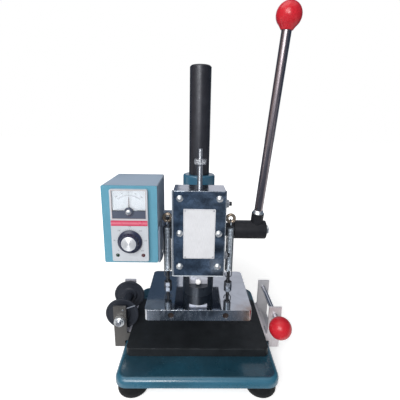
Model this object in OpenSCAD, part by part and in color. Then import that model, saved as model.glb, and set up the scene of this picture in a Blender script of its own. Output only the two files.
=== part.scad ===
// Bench-top hot foil stamping machine with a hand lever, a heated plate and a foil unwinder and rewinder.
// Millimetres. The origin is on the floor under the middle of the base, +Z is up and -Y faces the user.

/* [Base and column] */
// Width of the base casting
base_w = 210; // [204:1:220]
// Depth of the base casting
base_d = 217; // [214:1:260]
// Thickness of the base casting
base_t = 12; // [10:0.5:20]
// Radius of the rounded upper edge of the base
base_edge_r = 7; // [3:0.5:9]
// Radius of the vertical corners of the base
base_corner_r = 16; // [12:1:30]
// Diameter of a rubber foot
foot_d = 40; // [34:1:41]
// Height of a rubber foot
foot_h = 22; // [14:1:32]
// Distance from the side of the base to the middle of a foot
foot_inset_x = 20; // [20:1:26]
// Distance from the front of the base to the middle of a foot
foot_inset_y = 24; // [20:1:30]
// Diameter of the column
column_d = 33; // [28:1:36]
// Height of the top of the column above the floor
column_top = 427; // [415:1:460]
// Distance of the column behind the middle of the base
column_y = 76; // [75:0.5:79]
// Diameter of the raised boss round the column
column_boss_d = 50; // [44:1:51]
// Height of the raised boss round the column
column_boss_h = 9; // [4:1:14]

/* [Table] */
// Distance from the side of the base to the side of the work table
table_side = 7.5; // [5:0.5:12]
// Depth of the work table
table_d = 118; // [110:1:119]
// Thickness of the work table
table_t = 12; // [8:0.5:14]
// Radius of the corners of the work table
table_corner_r = 7; // [2:0.5:12]
// Distance of the middle of the table in front of the middle of the base
table_front_shift = 10; // [10:0.5:16]

/* [Foil brackets] */
// Thickness of the folded bracket sheet
ear_t = 3; // [2:0.5:4]
// Width of a bracket ear
ear_w = 18; // [17:0.5:22]
// Height of the top of the bracket ears above the floor
ear_top = 90; // [88:1:98]
// Height of the unwinder axle above the floor
unwind_z = 69; // [68.5:0.5:74]
// Height of the rewinder axle above the floor
rewind_z = 77; // [72:0.5:80]
// Distance between the outer faces of the two ears of a bracket
ear_span = 78; // [74:1:84]
// Diameter of the foil axles
axle_d = 7; // [6:0.5:9]
// Diameter of the unwinder discs
disc_d = 48; // [40:1:49]
// Thickness of an unwinder disc at its rim
disc_t = 3; // [2:0.5:5]
// Distance between the middles of the two unwinder discs
disc_span = 50; // [44:1:54]
// Diameter of the ball on the rewinder
rewind_ball_d = 30; // [24:1:34]
// Diameter of the knurled nut at the front of the unwinder axle
axle_nut_d = 15; // [12:0.5:18]

/* [Head] */
// Height of the bottom of the gearbox above the floor
gearbox_z = 133; // [130:0.5:140]
// Width of the gearbox
gearbox_w = 70; // [64:1:72]
// Height of the gearbox
gearbox_h = 123.5; // [118:0.5:130]
// Depth of the gearbox at its top, without the front cover
gearbox_top_d = 37; // [30:1:40]
// Thickness of the front cover
cover_t = 5; // [4:0.5:8]
// Distance of the inner face of the front cover in front of the middle of the base
cover_y = 25; // [24:0.5:26]
// Radius of the corners of the front cover
cover_corner_r = 2; // [1:0.5:4]
// Diameter of a domed cover screw
cover_screw_d = 9.5; // [6:0.5:10]
// Width of the plate on the cover
plate_w = 43; // [30:1:43]
// Height of the plate on the cover
plate_h = 71; // [50:1:76]
// Outer diameter of the collar on the column
collar_d = 52; // [48:1:58]
// Height of the top of the collar above the floor
collar_top = 262; // [258:1:275]
// Width of the pad of the casting behind the gearbox
pad_w = 64; // [56:1:66]
// Width of the slot in the clamp of the collar
clamp_gap = 3; // [2:0.5:5]

/* [Lever drive] */
// Gear module of the rack and the pinion
gear_module = 2; // [1.9:0.05:2.05]
// Number of teeth of the pinion
pinion_teeth = 18; // [17:1:18]
// Width of the pinion
pinion_w = 22; // [16:1:24]
// Distance of the pinion axis behind the middle of the base
pinion_y = 10; // [9.5:0.25:11]
// Height of the pinion axis above the bottom of the gearbox
pinion_rise = 57; // [54:0.5:60]
// Turn of the lever in degrees
lever_turn = 100; // [80:1:100]
// Diameter of the pinion shaft
shaft_d = 16; // [14:0.5:17]
// Diameter of the lever hub
hub_d = 27.5; // [24:0.5:28]
// Distance of the outer end of the hub from the middle plane
hub_end_x = 99.5; // [98:0.5:106]
// Distance of the lever socket from the middle plane
socket_x = 85; // [80:0.5:87]
// Diameter of the lever socket
socket_d = 18; // [16:0.5:20]
// Height of the mouth of the lever socket above the shaft axis
socket_h = 27; // [24:0.5:30]
// Diameter of the lever rod
rod_d = 12; // [10:0.5:13]
// Distance of the ball's middle from the shaft axis along the lever
lever_l = 278; // [220:1:300]
// Diameter of the ball on the lever
ball_d = 30; // [26:1:36]
// Lean of the lever to the side in degrees
lean_side = 3; // [0:0.5:6]
// Lean of the lever to the front in degrees
lean_front = 7; // [0:0.5:12]

/* [Ram and heat plate] */
// Width of the ram
ram_w = 26; // [22:0.5:27]
// Diameter of the coupling boss between ram and heat plate
boss_d = 44; // [40:0.5:46]
// Height of the coupling boss
boss_h = 27; // [25:0.5:28]
// Depth of the notch in the coupling boss that takes the ram
notch_h = 13.5; // [11:0.5:14]
// Width of the heat plate
heat_w = 142; // [130:1:150]
// Depth of the heat plate
heat_d = 106; // [98:1:110]
// Thickness of the heat plate
heat_t = 15.5; // [14:0.5:18]
// Radius of the corners of the heat plate
heat_corner_r = 6; // [2:0.5:10]
// Distance of the middle of the heat plate in front of the middle of the base
heat_front_shift = 15.5; // [13:0.5:17]
// Diameter of a cartridge heater
heater_d = 8; // [6:0.5:9]
// Distance of a cartridge heater from the middle plane
heater_x = 36; // [32:0.5:40]
// Diameter of the stop rod
stop_d = 7; // [5:0.5:8]
// Height of the stop rod above the top of the gearbox
stop_h = 54; // [48:1:60]
// Diameter of the knurled stop nut
stop_nut_d = 16; // [13:0.5:20]
// Height of the knurled stop nut
stop_nut_h = 7; // [5:0.5:9]

/* [Return springs] */
// Distance of a return spring from the middle plane
spring_x = 45; // [44.5:0.25:46]
// Outer diameter of a return spring
spring_d = 11.5; // [10:0.25:12]
// Wire diameter of a return spring
wire_d = 1.5; // [1.2:0.1:1.5]
// Number of curls of a return spring
spring_curls = 30; // [24:1:31]
// Outer diameter of the ring of an eye screw
eye_d = 15; // [13:0.5:16]
// Thickness of the ring of an eye screw
eye_t = 4.5; // [3.5:0.25:5]
// Height of the middle of the ring above the bottom of the gearbox
eye_rise = 79.5; // [79:0.5:82]

/* [Control box] */
// Width of the control box
box_w = 70; // [64:1:76]
// Depth of the control box
box_d = 88; // [84:1:96]
// Height of the control box
box_h = 104; // [102:1:120]
// Thickness of the sheet of the control box
sheet_t = 1.5; // [1:0.1:2]
// Distance of the right side of the box from the middle plane
box_side_x = 54; // [53.5:0.25:58]
// Distance of the front of the box in front of the middle of the base
box_front_shift = 46; // [44:0.5:50]
// Height of the bottom of the box above the bottom of the gearbox
box_rise = 29; // [26:0.5:30]
// Distance from the side of the box to the side of the instrument bezel
bezel_side = 11.5; // [9:0.5:11.5]
// Distance from the top of the box to the top of the instrument bezel
bezel_margin = 4; // [3:0.5:5]
// Height by which the bezel stands out of the box
bezel_t = 5; // [4:0.5:8]
// Diameter of the skirt of the temperature knob
knob_d = 31; // [24:0.5:34]
// Diameter of the cap of the temperature knob
knob_cap_d = 19; // [14:0.5:22]
// Depth of the temperature knob
knob_h = 9; // [8:0.5:14]

/* [Clearances] */
// Radial clearance of a turning shaft
run_clear = 0.05; // [0.02:0.01:0.1]
// Clearance of a sliding face
slide_clear = 0.15; // [0.05:0.05:0.3]
// Gap between pieces that pass each other
pass_gap = 0.4; // [0.3:0.05:1]
// Radial clearance of a screw in its hole
hole_clear = 0.25; // [0.1:0.05:0.5]
// Play between the teeth of rack and pinion
backlash = 0.3; // [0.15:0.05:0.5]

/* [Hidden] */
$fn = 64;
eps = 0.01;

// Heights of the stand, from the floor up
base_z = foot_h;
base_top = base_z + base_t;
table_top = base_top + table_t;
foot_x = base_w / 2 - foot_inset_x;
foot_y = base_d / 2 - foot_inset_y;
foot_screw_d = 6;
foot_recess_d = 16;
foot_recess_h = 8;
foot_screw_head_d = 12;
foot_screw_head_h = 4;
foot_screw_l = foot_h - foot_recess_h + base_t - 3;
foot_taper = 3;
foot_round = 4;
table_w = base_w - 2 * table_side;
table_y = -table_front_shift;
table_screw_d = 6;
table_screw_head_d = 10;
table_screw_head_h = 5;
table_screw_x = table_w / 2 - 30;
table_screw_y = table_d / 2 - 20;
table_screw_depth = 8;
column_chamfer = 2;
column_bolt_d = 12;
column_bolt_l = 30;
column_bolt_head = 19;
column_bolt_head_h = 7.5;
column_washer_d = 30;
column_washer_t = 2.5;

// Foil brackets and axles
ear_step = 1.5;
axle_x = table_w / 2 + ear_t + ear_step + ear_w / 2;
ear_back_shift = 10;
ear_y = table_y + ear_back_shift;
ear_front = ear_y - ear_span / 2;
ear_back = ear_y + ear_span / 2;
strip_top = table_top;
strip_bottom = base_top + pass_gap;
ear_bottom = base_z + 2;
bracket_screw_d = 4;
bracket_screw_head_d = 7;
bracket_screw_head_h = 2.5;
bracket_screw_l = 9;
bracket_screw_y = ear_span / 2 - 18;
bracket_screw_z = strip_bottom + ear_t + bracket_screw_head_d / 2 + pass_gap;
axle_bore_d = axle_d + 2 * run_clear;
axle_collar_d = axle_d + 5;
axle_collar_t = 4;
axle_tail = 5;
unwind_nose = 11;
axle_nut_t = 6;
axle_nut_nose_t = 2;
axle_nut_nose_d = axle_nut_d - 4;
knurl_grooves = 24;
knurl_d = 1.5;
knurl_out = 0.35;
spool_sleeve_d = 14;
disc_hub_d = 22;
disc_hub_t = 6;
disc_rim_w = 4;
disc_slope = 2;
disc_edge = 0.6;
brake_wire_d = 1.6;
brake_eye_d = 7;
brake_screw_d = 3;
brake_screw_head_d = 6;
brake_screw_head_h = 1.8;
brake_drop = 6;
brake_inset = 12;
rewind_ball_out = 27;
rewind_ball_y = ear_front - rewind_ball_out;
rewind_neck_d = 11;

// Rack, pinion and shaft
pitch_r = gear_module * pinion_teeth / 2;
pressure_angle = 20;
tip_r = pitch_r + gear_module;
root_r = pitch_r - 1.25 * gear_module;
gear_base_r = pitch_r * cos(pressure_angle);
flank_steps = 5;
tooth_pitch = PI * gear_module;
pinion_z = gearbox_z + pinion_rise;
pinion_pocket_r = tip_r + 1;
stroke = pitch_r * lever_turn * PI / 180;
bush_wall = 3;
bush_d = shaft_d + 2 * bush_wall;
bush_flange_d = bush_d + 5;
bush_flange_t = 3;
shaft_bore_d = shaft_d + 2 * run_clear;
key_w = 5;
key_l = 16;
flange_end_x = gearbox_w / 2 + bush_flange_t + pass_gap;
hub_start_x = spring_x + spring_d / 2 + 2;
spacer_d = 20;
hub_chamfer = 1;
hub_bolt_d = 8;
hub_bolt_l = 16;
hub_bolt_head = 12;
hub_bolt_head_h = 3;
hub_washer_d = 16;
hub_washer_t = 1.2;
collar_ring_d = 22;
collar_ring_t = 5;
shaft_left_x = -(flange_end_x + collar_ring_t);
socket_depth = 14;
ball_neck_d = 14;
ball_neck_l = 4.5;
rod_in_ball = 10;

// Head, gearbox and cover
gearbox_top = gearbox_z + gearbox_h;
gearbox_wall = 5;
gearbox_back = pinion_y + pinion_pocket_r + gearbox_wall;
gearbox_step_h = 10;
cover_front = -cover_y - cover_t;
cover_screw_head_h = 3;
cover_screw_shank_d = 4;
cover_screw_l = 11;
cover_screw_side = 8.5;
cover_screw_low = 15.5;
cover_screw_high = gearbox_h - 10.5;
cover_screw_x = gearbox_w / 2 - cover_screw_side;
cover_screw_z = [for (rise = [cover_screw_low, (cover_screw_low + cover_screw_high) / 2, cover_screw_high])
    gearbox_z + rise];
plate_t = 0.8;
plate_rise = 63.5;
plate_corner_r = 1;
plate_z = gearbox_z + plate_rise;
pad_rise = 17;
pad_z = gearbox_z + pad_rise;
pad_h = 95;
pad_t = 9;
collar_rise = 10;
collar_z = gearbox_z + collar_rise;
column_bore_d = column_d + 2 * run_clear;
clamp_ear_t = 11;
clamp_ear_l = 17;
clamp_ear_h = 88;
clamp_ear_rise = 4;
collar_edge_r = 3;
clamp_bolt_out = 8;
clamp_bolt_low = 26;
clamp_bolt_apart = 44;
clamp_bolt_d = 8;
clamp_bolt_head = 13;
clamp_bolt_head_h = 5.5;
clamp_bolt_y = column_y + collar_d / 2 + clamp_bolt_out;
clamp_bolt_z = [collar_z + clamp_bolt_low, collar_z + clamp_bolt_low + clamp_bolt_apart];
mount_bolt_d = 6;
mount_bolt_head_d = 10;
mount_bolt_head_h = 6;
mount_bolt_l = 14;
mount_bolt_side = 8;
mount_bolt_end = 9;
mount_bolt_x = pad_w / 2 - mount_bolt_side;
mount_bolt_z = [pad_z + mount_bolt_end, pad_z + pad_h - mount_bolt_end];
rib_w = 2 * (mount_bolt_x - mount_bolt_head_d / 2 - 1);

// Ram, boss and heat plate
ram_front = -cover_y + slide_clear;
ram_back = pinion_y - pitch_r + gear_module;
ram_y = (ram_front + ram_back) / 2;
heat_y = -heat_front_shift;
boss_y = ram_y;
boss_gap = 0.6;
boss_top = gearbox_z - boss_gap;
boss_z = boss_top - boss_h;
heat_top = boss_z;
heat_z = heat_top - heat_t;
ram_bottom = boss_top - notch_h;
ram_top_gap = 11;
ram_top = gearbox_top - ram_top_gap;
rack_first = -3;
rack_last = ceil(stroke / tooth_pitch) + 3;
gib_t = 4;
gib_rise = 8;
gib_top_gap = 15.5;
gib_h = gearbox_h - gib_rise - gib_top_gap;
gib_z = gearbox_z + gib_rise;
gib_screw_d = 6;
gib_screw_y = ram_front + gib_screw_d * 1.25;
gib_screw_z = [gearbox_z + gearbox_h * 0.22, gearbox_z + gearbox_h * 0.84];
gib_screw_out = 9;
gib_nut = 10;
gib_nut_t = 5;
ram_screw_d = 10;
ram_screw_head_d = 16;
ram_screw_head_h = 8;
ram_screw_l = 18;
front_bolt_d = 4;
front_bolt_head_d = 7.5;
front_bolt_head_h = 3;
front_bolt_l = 4;
front_bolt_z = ram_bottom + notch_h / 3;
plate_screw_d = 5;
plate_screw_head_d = 10;
plate_screw_head_h = 5.5;
plate_screw_r = 15;
heater_l = heat_d - 12;
heater_recess = 2;
heater_z = heat_z + heat_t / 2;
stop_over = 2;
stop_nut_z = gearbox_top + stroke + stop_over;
stop_tip_d = stop_d - 1.5;
stop_seat = 10;

// Return springs, eye screws and studs
spring_r = (spring_d - wire_d) / 2;
spring_y = -7;
eye_ring_r = (eye_d - eye_t) / 2;
eye_z = gearbox_z + eye_rise;
eye_shank_d = 5;
eye_seat = 6;
hook_gap = 0.3;
hook_top_z = eye_z - eye_ring_r + eye_t / 2 + wire_d / 2 + hook_gap - spring_r;
stud_d = 6;
stud_neck_d = 5;
stud_neck_l = 15;
stud_hole_d = 3.6;
stud_h = 25;
stud_hole_drop = 10;
stud_top = heat_top + stud_h;
stud_hole_z = stud_top - stud_hole_drop;
stud_seat = 10;
stud_nut = 10;
stud_nut_h = 6;
stud_washer_d = 12;
stud_washer_t = 1.5;
hook_low_z = stud_hole_z + spring_r - 0.7;
elbow_turn = 45;
elbow_h = spring_r * PI / 4;
hook_leg = 3;
coil_z0 = hook_low_z + hook_leg + elbow_h;
coil_z1 = hook_top_z - hook_leg - elbow_h;
coil_turn = spring_curls * 360 - 2 * elbow_turn + 90;
curl_rings = 8;
wire_sides = 6;

// Control box
box_x1 = -box_side_x;
box_x0 = box_x1 - box_w;
box_mid_x = (box_x0 + box_x1) / 2;
box_y0 = -box_front_shift;
box_y1 = box_y0 + box_d;
box_z = gearbox_z + box_rise;
box_corner_r = 2;
bezel_w = box_w - 2 * bezel_side;
bezel_h = box_h - 2 * bezel_margin;
bezel_mid_z = box_z + box_h / 2;
bezel_z = bezel_mid_z - bezel_h / 2;
bezel_corner_r = 2;
case_w = bezel_w - 3;
case_h = bezel_h - 4;
case_d = 58;
case_gap = 0.25;
channel_t = 3;
channel_y0 = pinion_y + bush_flange_d / 2 + pass_gap;
channel_y1 = gearbox_back - 0.5;
channel_w = channel_y1 - channel_y0;
channel_screw_y = channel_y0 + (channel_w - channel_t) / 2;
channel_z = box_z + 3;
channel_h = 46;
flange_t = 2.5;
flange_front = spring_y - spring_d / 2 - 5;
flange_z = box_z - 8;
flange_top = eye_z - eye_d / 2 - 4;
channel_screw_d = 5;
channel_screw_head_d = 8;
channel_screw_head_h = 3;
channel_screw_l = 9;
channel_screw_z = [channel_z + 9, channel_z + channel_h - 9];
rear_screw_d = 3;
rear_screw_head_d = 6;
rear_screw_head_h = 2;
rear_tab = 9;
gland_d = 15;
gland_bore_d = 7;
gland_hex = 18;
gland_nut_t = 5;
gland_l = 14;
meter_w = bezel_w - 5;
meter_h = bezel_h * 0.375;
meter_margin = 1.5;
meter_z = bezel_z + bezel_h - meter_margin - meter_h / 2;
meter_depth = 4;
meter_band_h = 10;
meter_cap_d = 11;
window_t = 1;
dial_t = 0.8;
needle_l = 19;
needle_t = 0.5;
needle_hub_d = 4;
needle_pin_d = 1.6;
needle_z = meter_z - meter_h / 2 + meter_band_h - 1;
strip_w = bezel_w - 1;
strip_h = 7;
strip_t = 0.6;
strip_drop = 6;
strip_z = meter_z - meter_h / 2 - strip_drop;
knob_z = bezel_z + bezel_h * 0.29;
knob_skirt_h = 4;
pot_shaft_d = 6;
pot_t = 9;
lamp_d = 5;
lamp_side = 7;
lamp_x = bezel_w / 2 - lamp_side;
lamp_z = bezel_z + bezel_h * 0.0885;

// Shared shapes

module rounded_rect(w, d, r) {
    square([w - 2 * r, d], center = true);
    square([w, d - 2 * r], center = true);
    for (sx = [-1, 1], sy = [-1, 1])
        translate([sx * (w / 2 - r), sy * (d / 2 - r)]) circle(r);
}

module rounded_plate(w, d, h, r) {
    linear_extrude(h) rounded_rect(w, d, r);
}

// Half section of a slab whose upper outer edge is rounded
module edge_section(half, h, r) {
    difference() {
        square([half, h]);
        difference() {
            translate([half - r, h - r]) square(r + 1);
            translate([half - r, h - r]) circle(r);
        }
    }
}

module full_section(w, h, r) {
    for (side = [0, 1]) mirror([side, 0]) edge_section(w / 2, h, r);
}

// Slab with rounded vertical corners and a rounded upper edge
module pillow_slab(w, d, h, corner_r, edge_r) {
    translate([0, d / 2 - corner_r, 0]) rotate([90, 0, 0])
        linear_extrude(d - 2 * corner_r) full_section(w, h, edge_r);
    translate([-w / 2 + corner_r, 0, 0]) rotate([90, 0, 90])
        linear_extrude(w - 2 * corner_r) full_section(d, h, edge_r);
    for (sx = [-1, 1], sy = [-1, 1])
        translate([sx * (w / 2 - corner_r), sy * (d / 2 - corner_r), 0])
            rotate_extrude() edge_section(corner_r, h, edge_r);
}

module along_x(x0, x1, d) {
    translate([x0, 0, 0]) rotate([0, 90, 0]) cylinder(h = x1 - x0, d = d);
}

module along_y(y0, y1, d) {
    translate([0, y1, 0]) rotate([90, 0, 0]) cylinder(h = y1 - y0, d = d);
}

module hexagon(flats, h) {
    cylinder(h = h, d = flats / cos(30), $fn = 6);
}

module four_corners(x, y) {
    for (sx = [-1, 1], sy = [-1, 1]) translate([sx * x, sy * y, 0]) children();
}

module both_sides() {
    for (side = [0, 1]) mirror([side, 0, 0]) children();
}

// Stand

module base_casting() {
    color("#3e6982") difference() {
        union() {
            translate([0, 0, base_z]) pillow_slab(base_w, base_d, base_t, base_corner_r, base_edge_r);
            translate([0, column_y, base_top - eps]) cylinder(h = column_boss_h + eps, d = column_boss_d);
        }
        translate([0, column_y, base_z - 1]) cylinder(h = base_t + column_boss_h + 2, d = column_d);
        four_corners(foot_x, foot_y) translate([0, 0, base_z - 1])
            cylinder(h = foot_screw_l - foot_h + foot_recess_h + 2, d = foot_screw_d + 2 * hole_clear);
        translate([0, table_y, base_z - 1]) four_corners(table_screw_x, table_screw_y) {
            cylinder(h = base_t + 2, d = table_screw_d + 2 * hole_clear);
            cylinder(h = table_screw_head_h + 2, d = table_screw_head_d + 2 * hole_clear);
        }
    }
}

module foot_shape() {
    rotate_extrude() difference() {
        union() {
            polygon([[foot_screw_d / 2, foot_recess_h], [foot_screw_d / 2, foot_h],
                [foot_d / 2 - foot_taper, foot_h], [foot_d / 2, foot_round],
                [foot_d / 2 - foot_round, 0], [foot_recess_d / 2, 0],
                [foot_recess_d / 2, foot_recess_h]]);
            intersection() {
                translate([foot_d / 2 - foot_round, foot_round]) circle(foot_round);
                translate([foot_d / 2 - foot_round, 0]) square(foot_round);
            }
        }
        square([foot_screw_d / 2 + hole_clear, foot_h + 1]);
    }
}

module rubber_feet() {
    color("#202224") four_corners(foot_x, foot_y) foot_shape();
}

module foot_screws() {
    color("#a8abae") four_corners(foot_x, foot_y) {
        translate([0, 0, foot_recess_h - foot_screw_head_h])
            cylinder(h = foot_screw_head_h, d = foot_screw_head_d);
        translate([0, 0, foot_recess_h - eps]) cylinder(h = foot_screw_l + eps, d = foot_screw_d);
    }
}

module column() {
    color("#2d2d32") translate([0, column_y, 0]) difference() {
        rotate_extrude() polygon([[0, base_z], [column_d / 2, base_z],
            [column_d / 2, column_top - column_chamfer], [column_d / 2 - column_chamfer, column_top],
            [0, column_top]]);
        translate([0, 0, base_z - 1]) cylinder(h = column_bolt_l + 3, d = column_bolt_d + 2 * hole_clear);
    }
}

module column_bolt() {
    color("#7d8084") translate([0, column_y, base_z - column_washer_t]) {
        cylinder(h = column_washer_t, d = column_washer_d);
        translate([0, 0, -column_bolt_head_h]) hexagon(column_bolt_head, column_bolt_head_h);
        cylinder(h = column_bolt_l, d = column_bolt_d);
    }
}

module table_plate() {
    color("#1c1e22") translate([0, table_y, base_top]) difference() {
        rounded_plate(table_w, table_d, table_t, table_corner_r);
        translate([0, 0, -1]) four_corners(table_screw_x, table_screw_y)
            cylinder(h = table_screw_depth + 1.5, d = table_screw_d + 2 * hole_clear);
        for (side = [-1, 1], sy = [-1, 1])
            translate([side * table_w / 2, ear_back_shift + sy * bracket_screw_y, bracket_screw_z - base_top])
                along_x(-bracket_screw_l - 0.5, bracket_screw_l + 0.5, bracket_screw_d + 2 * hole_clear);
    }
}

module table_screws() {
    color("#8a8d90") translate([0, table_y, base_z]) four_corners(table_screw_x, table_screw_y) {
        translate([0, 0, 1]) cylinder(h = table_screw_head_h, d = table_screw_head_d);
        cylinder(h = base_t + table_screw_depth, d = table_screw_d);
    }
}

// Folded bracket on the right side of the table, drawn as one bent sheet
module foil_bracket(axle_z) {
    strip_x = table_w / 2 + ear_t;
    low_x = base_w / 2 + pass_gap;
    ear_x0 = axle_x - ear_w / 2;
    ear_x1 = axle_x + ear_w / 2;
    difference() {
        union() {
            translate([0, ear_back, 0]) rotate([90, 0, 0]) linear_extrude(ear_span)
                polygon([[table_w / 2, strip_bottom], [low_x, strip_bottom], [low_x, ear_bottom],
                    [ear_x1, ear_bottom], [ear_x1, ear_bottom + ear_t], [low_x + ear_t, ear_bottom + ear_t],
                    [low_x + ear_t, strip_bottom + ear_t], [strip_x, strip_bottom + ear_t],
                    [strip_x, strip_top], [table_w / 2, strip_top]]);
            for (y = [ear_front, ear_back - ear_t])
                translate([0, y + ear_t, 0]) rotate([90, 0, 0]) linear_extrude(ear_t)
                    polygon([[strip_x - eps, strip_bottom], [low_x, strip_bottom], [low_x, ear_bottom],
                        [ear_x1, ear_bottom], [ear_x1, ear_top], [ear_x0, ear_top],
                        [ear_x0, strip_top + ear_step], [strip_x - eps, strip_top]]);
        }
        translate([axle_x, 0, axle_z]) along_y(ear_front - 1, ear_back + 1, axle_bore_d);
        for (sy = [-1, 1]) translate([table_w / 2, ear_y + sy * bracket_screw_y, bracket_screw_z])
            along_x(-1, ear_t + 1, bracket_screw_d + 2 * hole_clear);
    }
}

module bracket_left() {
    color("#787673") difference() {
        mirror([1, 0, 0]) foil_bracket(unwind_z);
        brake_place() along_y(-ear_t - 1, 1, brake_screw_d + 2 * hole_clear);
    }
}

module bracket_right() {
    color("#787673") foil_bracket(rewind_z);
}

module bracket_screws() {
    color("#b4b6b8") both_sides() for (sy = [-1, 1])
        translate([table_w / 2, ear_y + sy * bracket_screw_y, bracket_screw_z]) {
            along_x(-bracket_screw_l, ear_t, bracket_screw_d);
            along_x(ear_t, ear_t + bracket_screw_head_h, bracket_screw_head_d);
        }
    color("#b4b6b8") brake_place() {
        along_y(-ear_t, brake_wire_d + eps, brake_screw_d);
        along_y(brake_wire_d, brake_wire_d + brake_screw_head_h, brake_screw_head_d);
    }
}

// Eye of the brake wire on the inner face of the left front ear
module brake_place() {
    translate([-axle_x + ear_w / 4, ear_front + ear_t, ear_top - brake_drop]) children();
}

// Wire that leans on the front disc near its rim and brakes the spool
module brake_spring() {
    reach_y = disc_span / 2 + disc_t / 2 + pass_gap + brake_wire_d / 2;
    dx = brake_inset;
    dy = ear_span / 2 - ear_t - reach_y - brake_wire_d / 2;
    color("#c6c8ca") brake_place() {
        rotate([-90, 0, 0]) difference() {
            cylinder(h = brake_wire_d, d = brake_eye_d);
            translate([0, 0, -1]) cylinder(h = brake_wire_d + 2, d = brake_screw_d + 2 * hole_clear);
        }
        translate([brake_screw_d, brake_wire_d / 2, 0]) rotate([0, 0, atan2(dy, dx)])
            along_x(0, norm([dx, dy]), brake_wire_d);
    }
}

// Foil unwinder and rewinder

// Grooves of a knurled rim
module knurl(d, h) {
    for (k = [0 : knurl_grooves - 1]) rotate([0, 0, k * 360 / knurl_grooves])
        translate([d / 2 + knurl_out, 0, -1]) cylinder(h = h + 1, d = knurl_d, $fn = 16);
}

module spool_axle() {
    color("#b9bcc0") translate([-axle_x, 0, unwind_z]) {
        along_y(ear_front - unwind_nose, ear_back + axle_tail, axle_d);
        along_y(ear_back + pass_gap, ear_back + axle_tail, axle_collar_d);
    }
}

// Half section of a disc: thick at its hub, thin in its web and thicker again at its rim
module disc_half() {
    web_t = disc_t / 3;
    hub_r = disc_hub_d / 2;
    rim_r = disc_d / 2;
    polygon([[spool_sleeve_d / 2, 0], [spool_sleeve_d / 2, disc_hub_t / 2], [hub_r, disc_hub_t / 2],
        [hub_r + disc_slope, web_t], [rim_r - disc_rim_w, web_t],
        [rim_r - disc_rim_w + disc_slope / 2, disc_t / 2],
        [rim_r - disc_edge, disc_t / 2], [rim_r, disc_t / 2 - disc_edge], [rim_r, 0]]);
}

module spool_disc() {
    rotate([90, 0, 0]) rotate_extrude() {
        disc_half();
        mirror([0, 1]) disc_half();
    }
}

module spool_discs() {
    color("#26282c") translate([-axle_x, ear_y, unwind_z]) difference() {
        union() {
            for (side = [-1, 1]) translate([0, side * disc_span / 2, 0]) spool_disc();
            along_y(-disc_span / 2 - disc_hub_t / 2, disc_span / 2 + disc_hub_t / 2, spool_sleeve_d + eps);
        }
        along_y(-ear_span / 2, ear_span / 2, axle_d);
    }
}

module axle_nut() {
    color("#c2c4c6") translate([-axle_x, ear_front - pass_gap, unwind_z]) rotate([90, 0, 0]) difference() {
        union() {
            cylinder(h = axle_nut_t, d = axle_nut_d);
            translate([0, 0, axle_nut_t - eps]) cylinder(h = axle_nut_nose_t, d = axle_nut_nose_d);
        }
        translate([0, 0, -1]) cylinder(h = axle_nut_t + axle_nut_nose_t + 2, d = axle_d);
        knurl(axle_nut_d, axle_nut_t);
    }
}

module rewind_axle() {
    color("#b9bcc0") translate([axle_x, 0, rewind_z]) {
        along_y(rewind_ball_y - rewind_ball_d / 4, ear_back + axle_tail, axle_d);
        along_y(ear_back + pass_gap, ear_back + axle_tail, axle_collar_d);
        along_y(ear_front + ear_t + pass_gap, ear_front + ear_t + pass_gap + axle_collar_t, axle_collar_d);
    }
}

module knob_ball(d, neck_d, neck_l, bore_d, bore_l) {
    difference() {
        union() {
            sphere(d = d);
            translate([0, 0, -d / 2 - neck_l + 1]) cylinder(h = d / 2, d = neck_d);
        }
        translate([0, 0, -d / 2 - neck_l]) cylinder(h = d / 2 + neck_l + bore_l, d = bore_d);
    }
}

module rewind_ball() {
    color("#cd2d37") translate([axle_x, rewind_ball_y, rewind_z]) rotate([90, 0, 0])
        knob_ball(rewind_ball_d, rewind_neck_d, 2, axle_d, rewind_ball_d / 4);
}

// Head

module head_casting() {
    pad_y = gearbox_back;
    color("#326e8c") difference() {
        union() {
            translate([-pad_w / 2, pad_y, pad_z]) cube([pad_w, pad_t, pad_h]);
            translate([-rib_w / 2, pad_y, pad_z]) cube([rib_w, column_y - pad_y, pad_h]);
            translate([0, column_y, collar_z])
                rotate_extrude() edge_section(collar_d / 2, collar_top - collar_z, collar_edge_r);
            translate([-clamp_ear_t - clamp_gap / 2, column_y, collar_z + clamp_ear_rise])
                cube([2 * clamp_ear_t + clamp_gap, collar_d / 2 + clamp_ear_l, clamp_ear_h]);
        }
        translate([0, column_y, collar_z - 1])
            cylinder(h = collar_top - collar_z + 2, d = column_bore_d);
        translate([-clamp_gap / 2, column_y, collar_z - 1])
            cube([clamp_gap, collar_d / 2 + clamp_ear_l + 1, collar_top - collar_z + 2]);
        for (z = clamp_bolt_z) translate([0, clamp_bolt_y, z])
            along_x(-clamp_ear_t * 2, clamp_ear_t * 2, clamp_bolt_d + 2 * hole_clear);
        for (side = [-1, 1], z = mount_bolt_z) translate([side * mount_bolt_x, 0, z])
            along_y(pad_y - 1, pad_y + pad_t + 1, mount_bolt_d + 2 * hole_clear);
    }
}

module clamp_bolts() {
    half = clamp_ear_t + clamp_gap / 2;
    color("#9a9da0") for (z = clamp_bolt_z) translate([0, clamp_bolt_y, z]) {
        along_x(-half - clamp_bolt_head_h, half + clamp_bolt_head_h + 2, clamp_bolt_d);
        for (x = [-half - clamp_bolt_head_h, half])
            translate([x, 0, 0]) rotate([0, 90, 0]) hexagon(clamp_bolt_head, clamp_bolt_head_h);
    }
}

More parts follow.
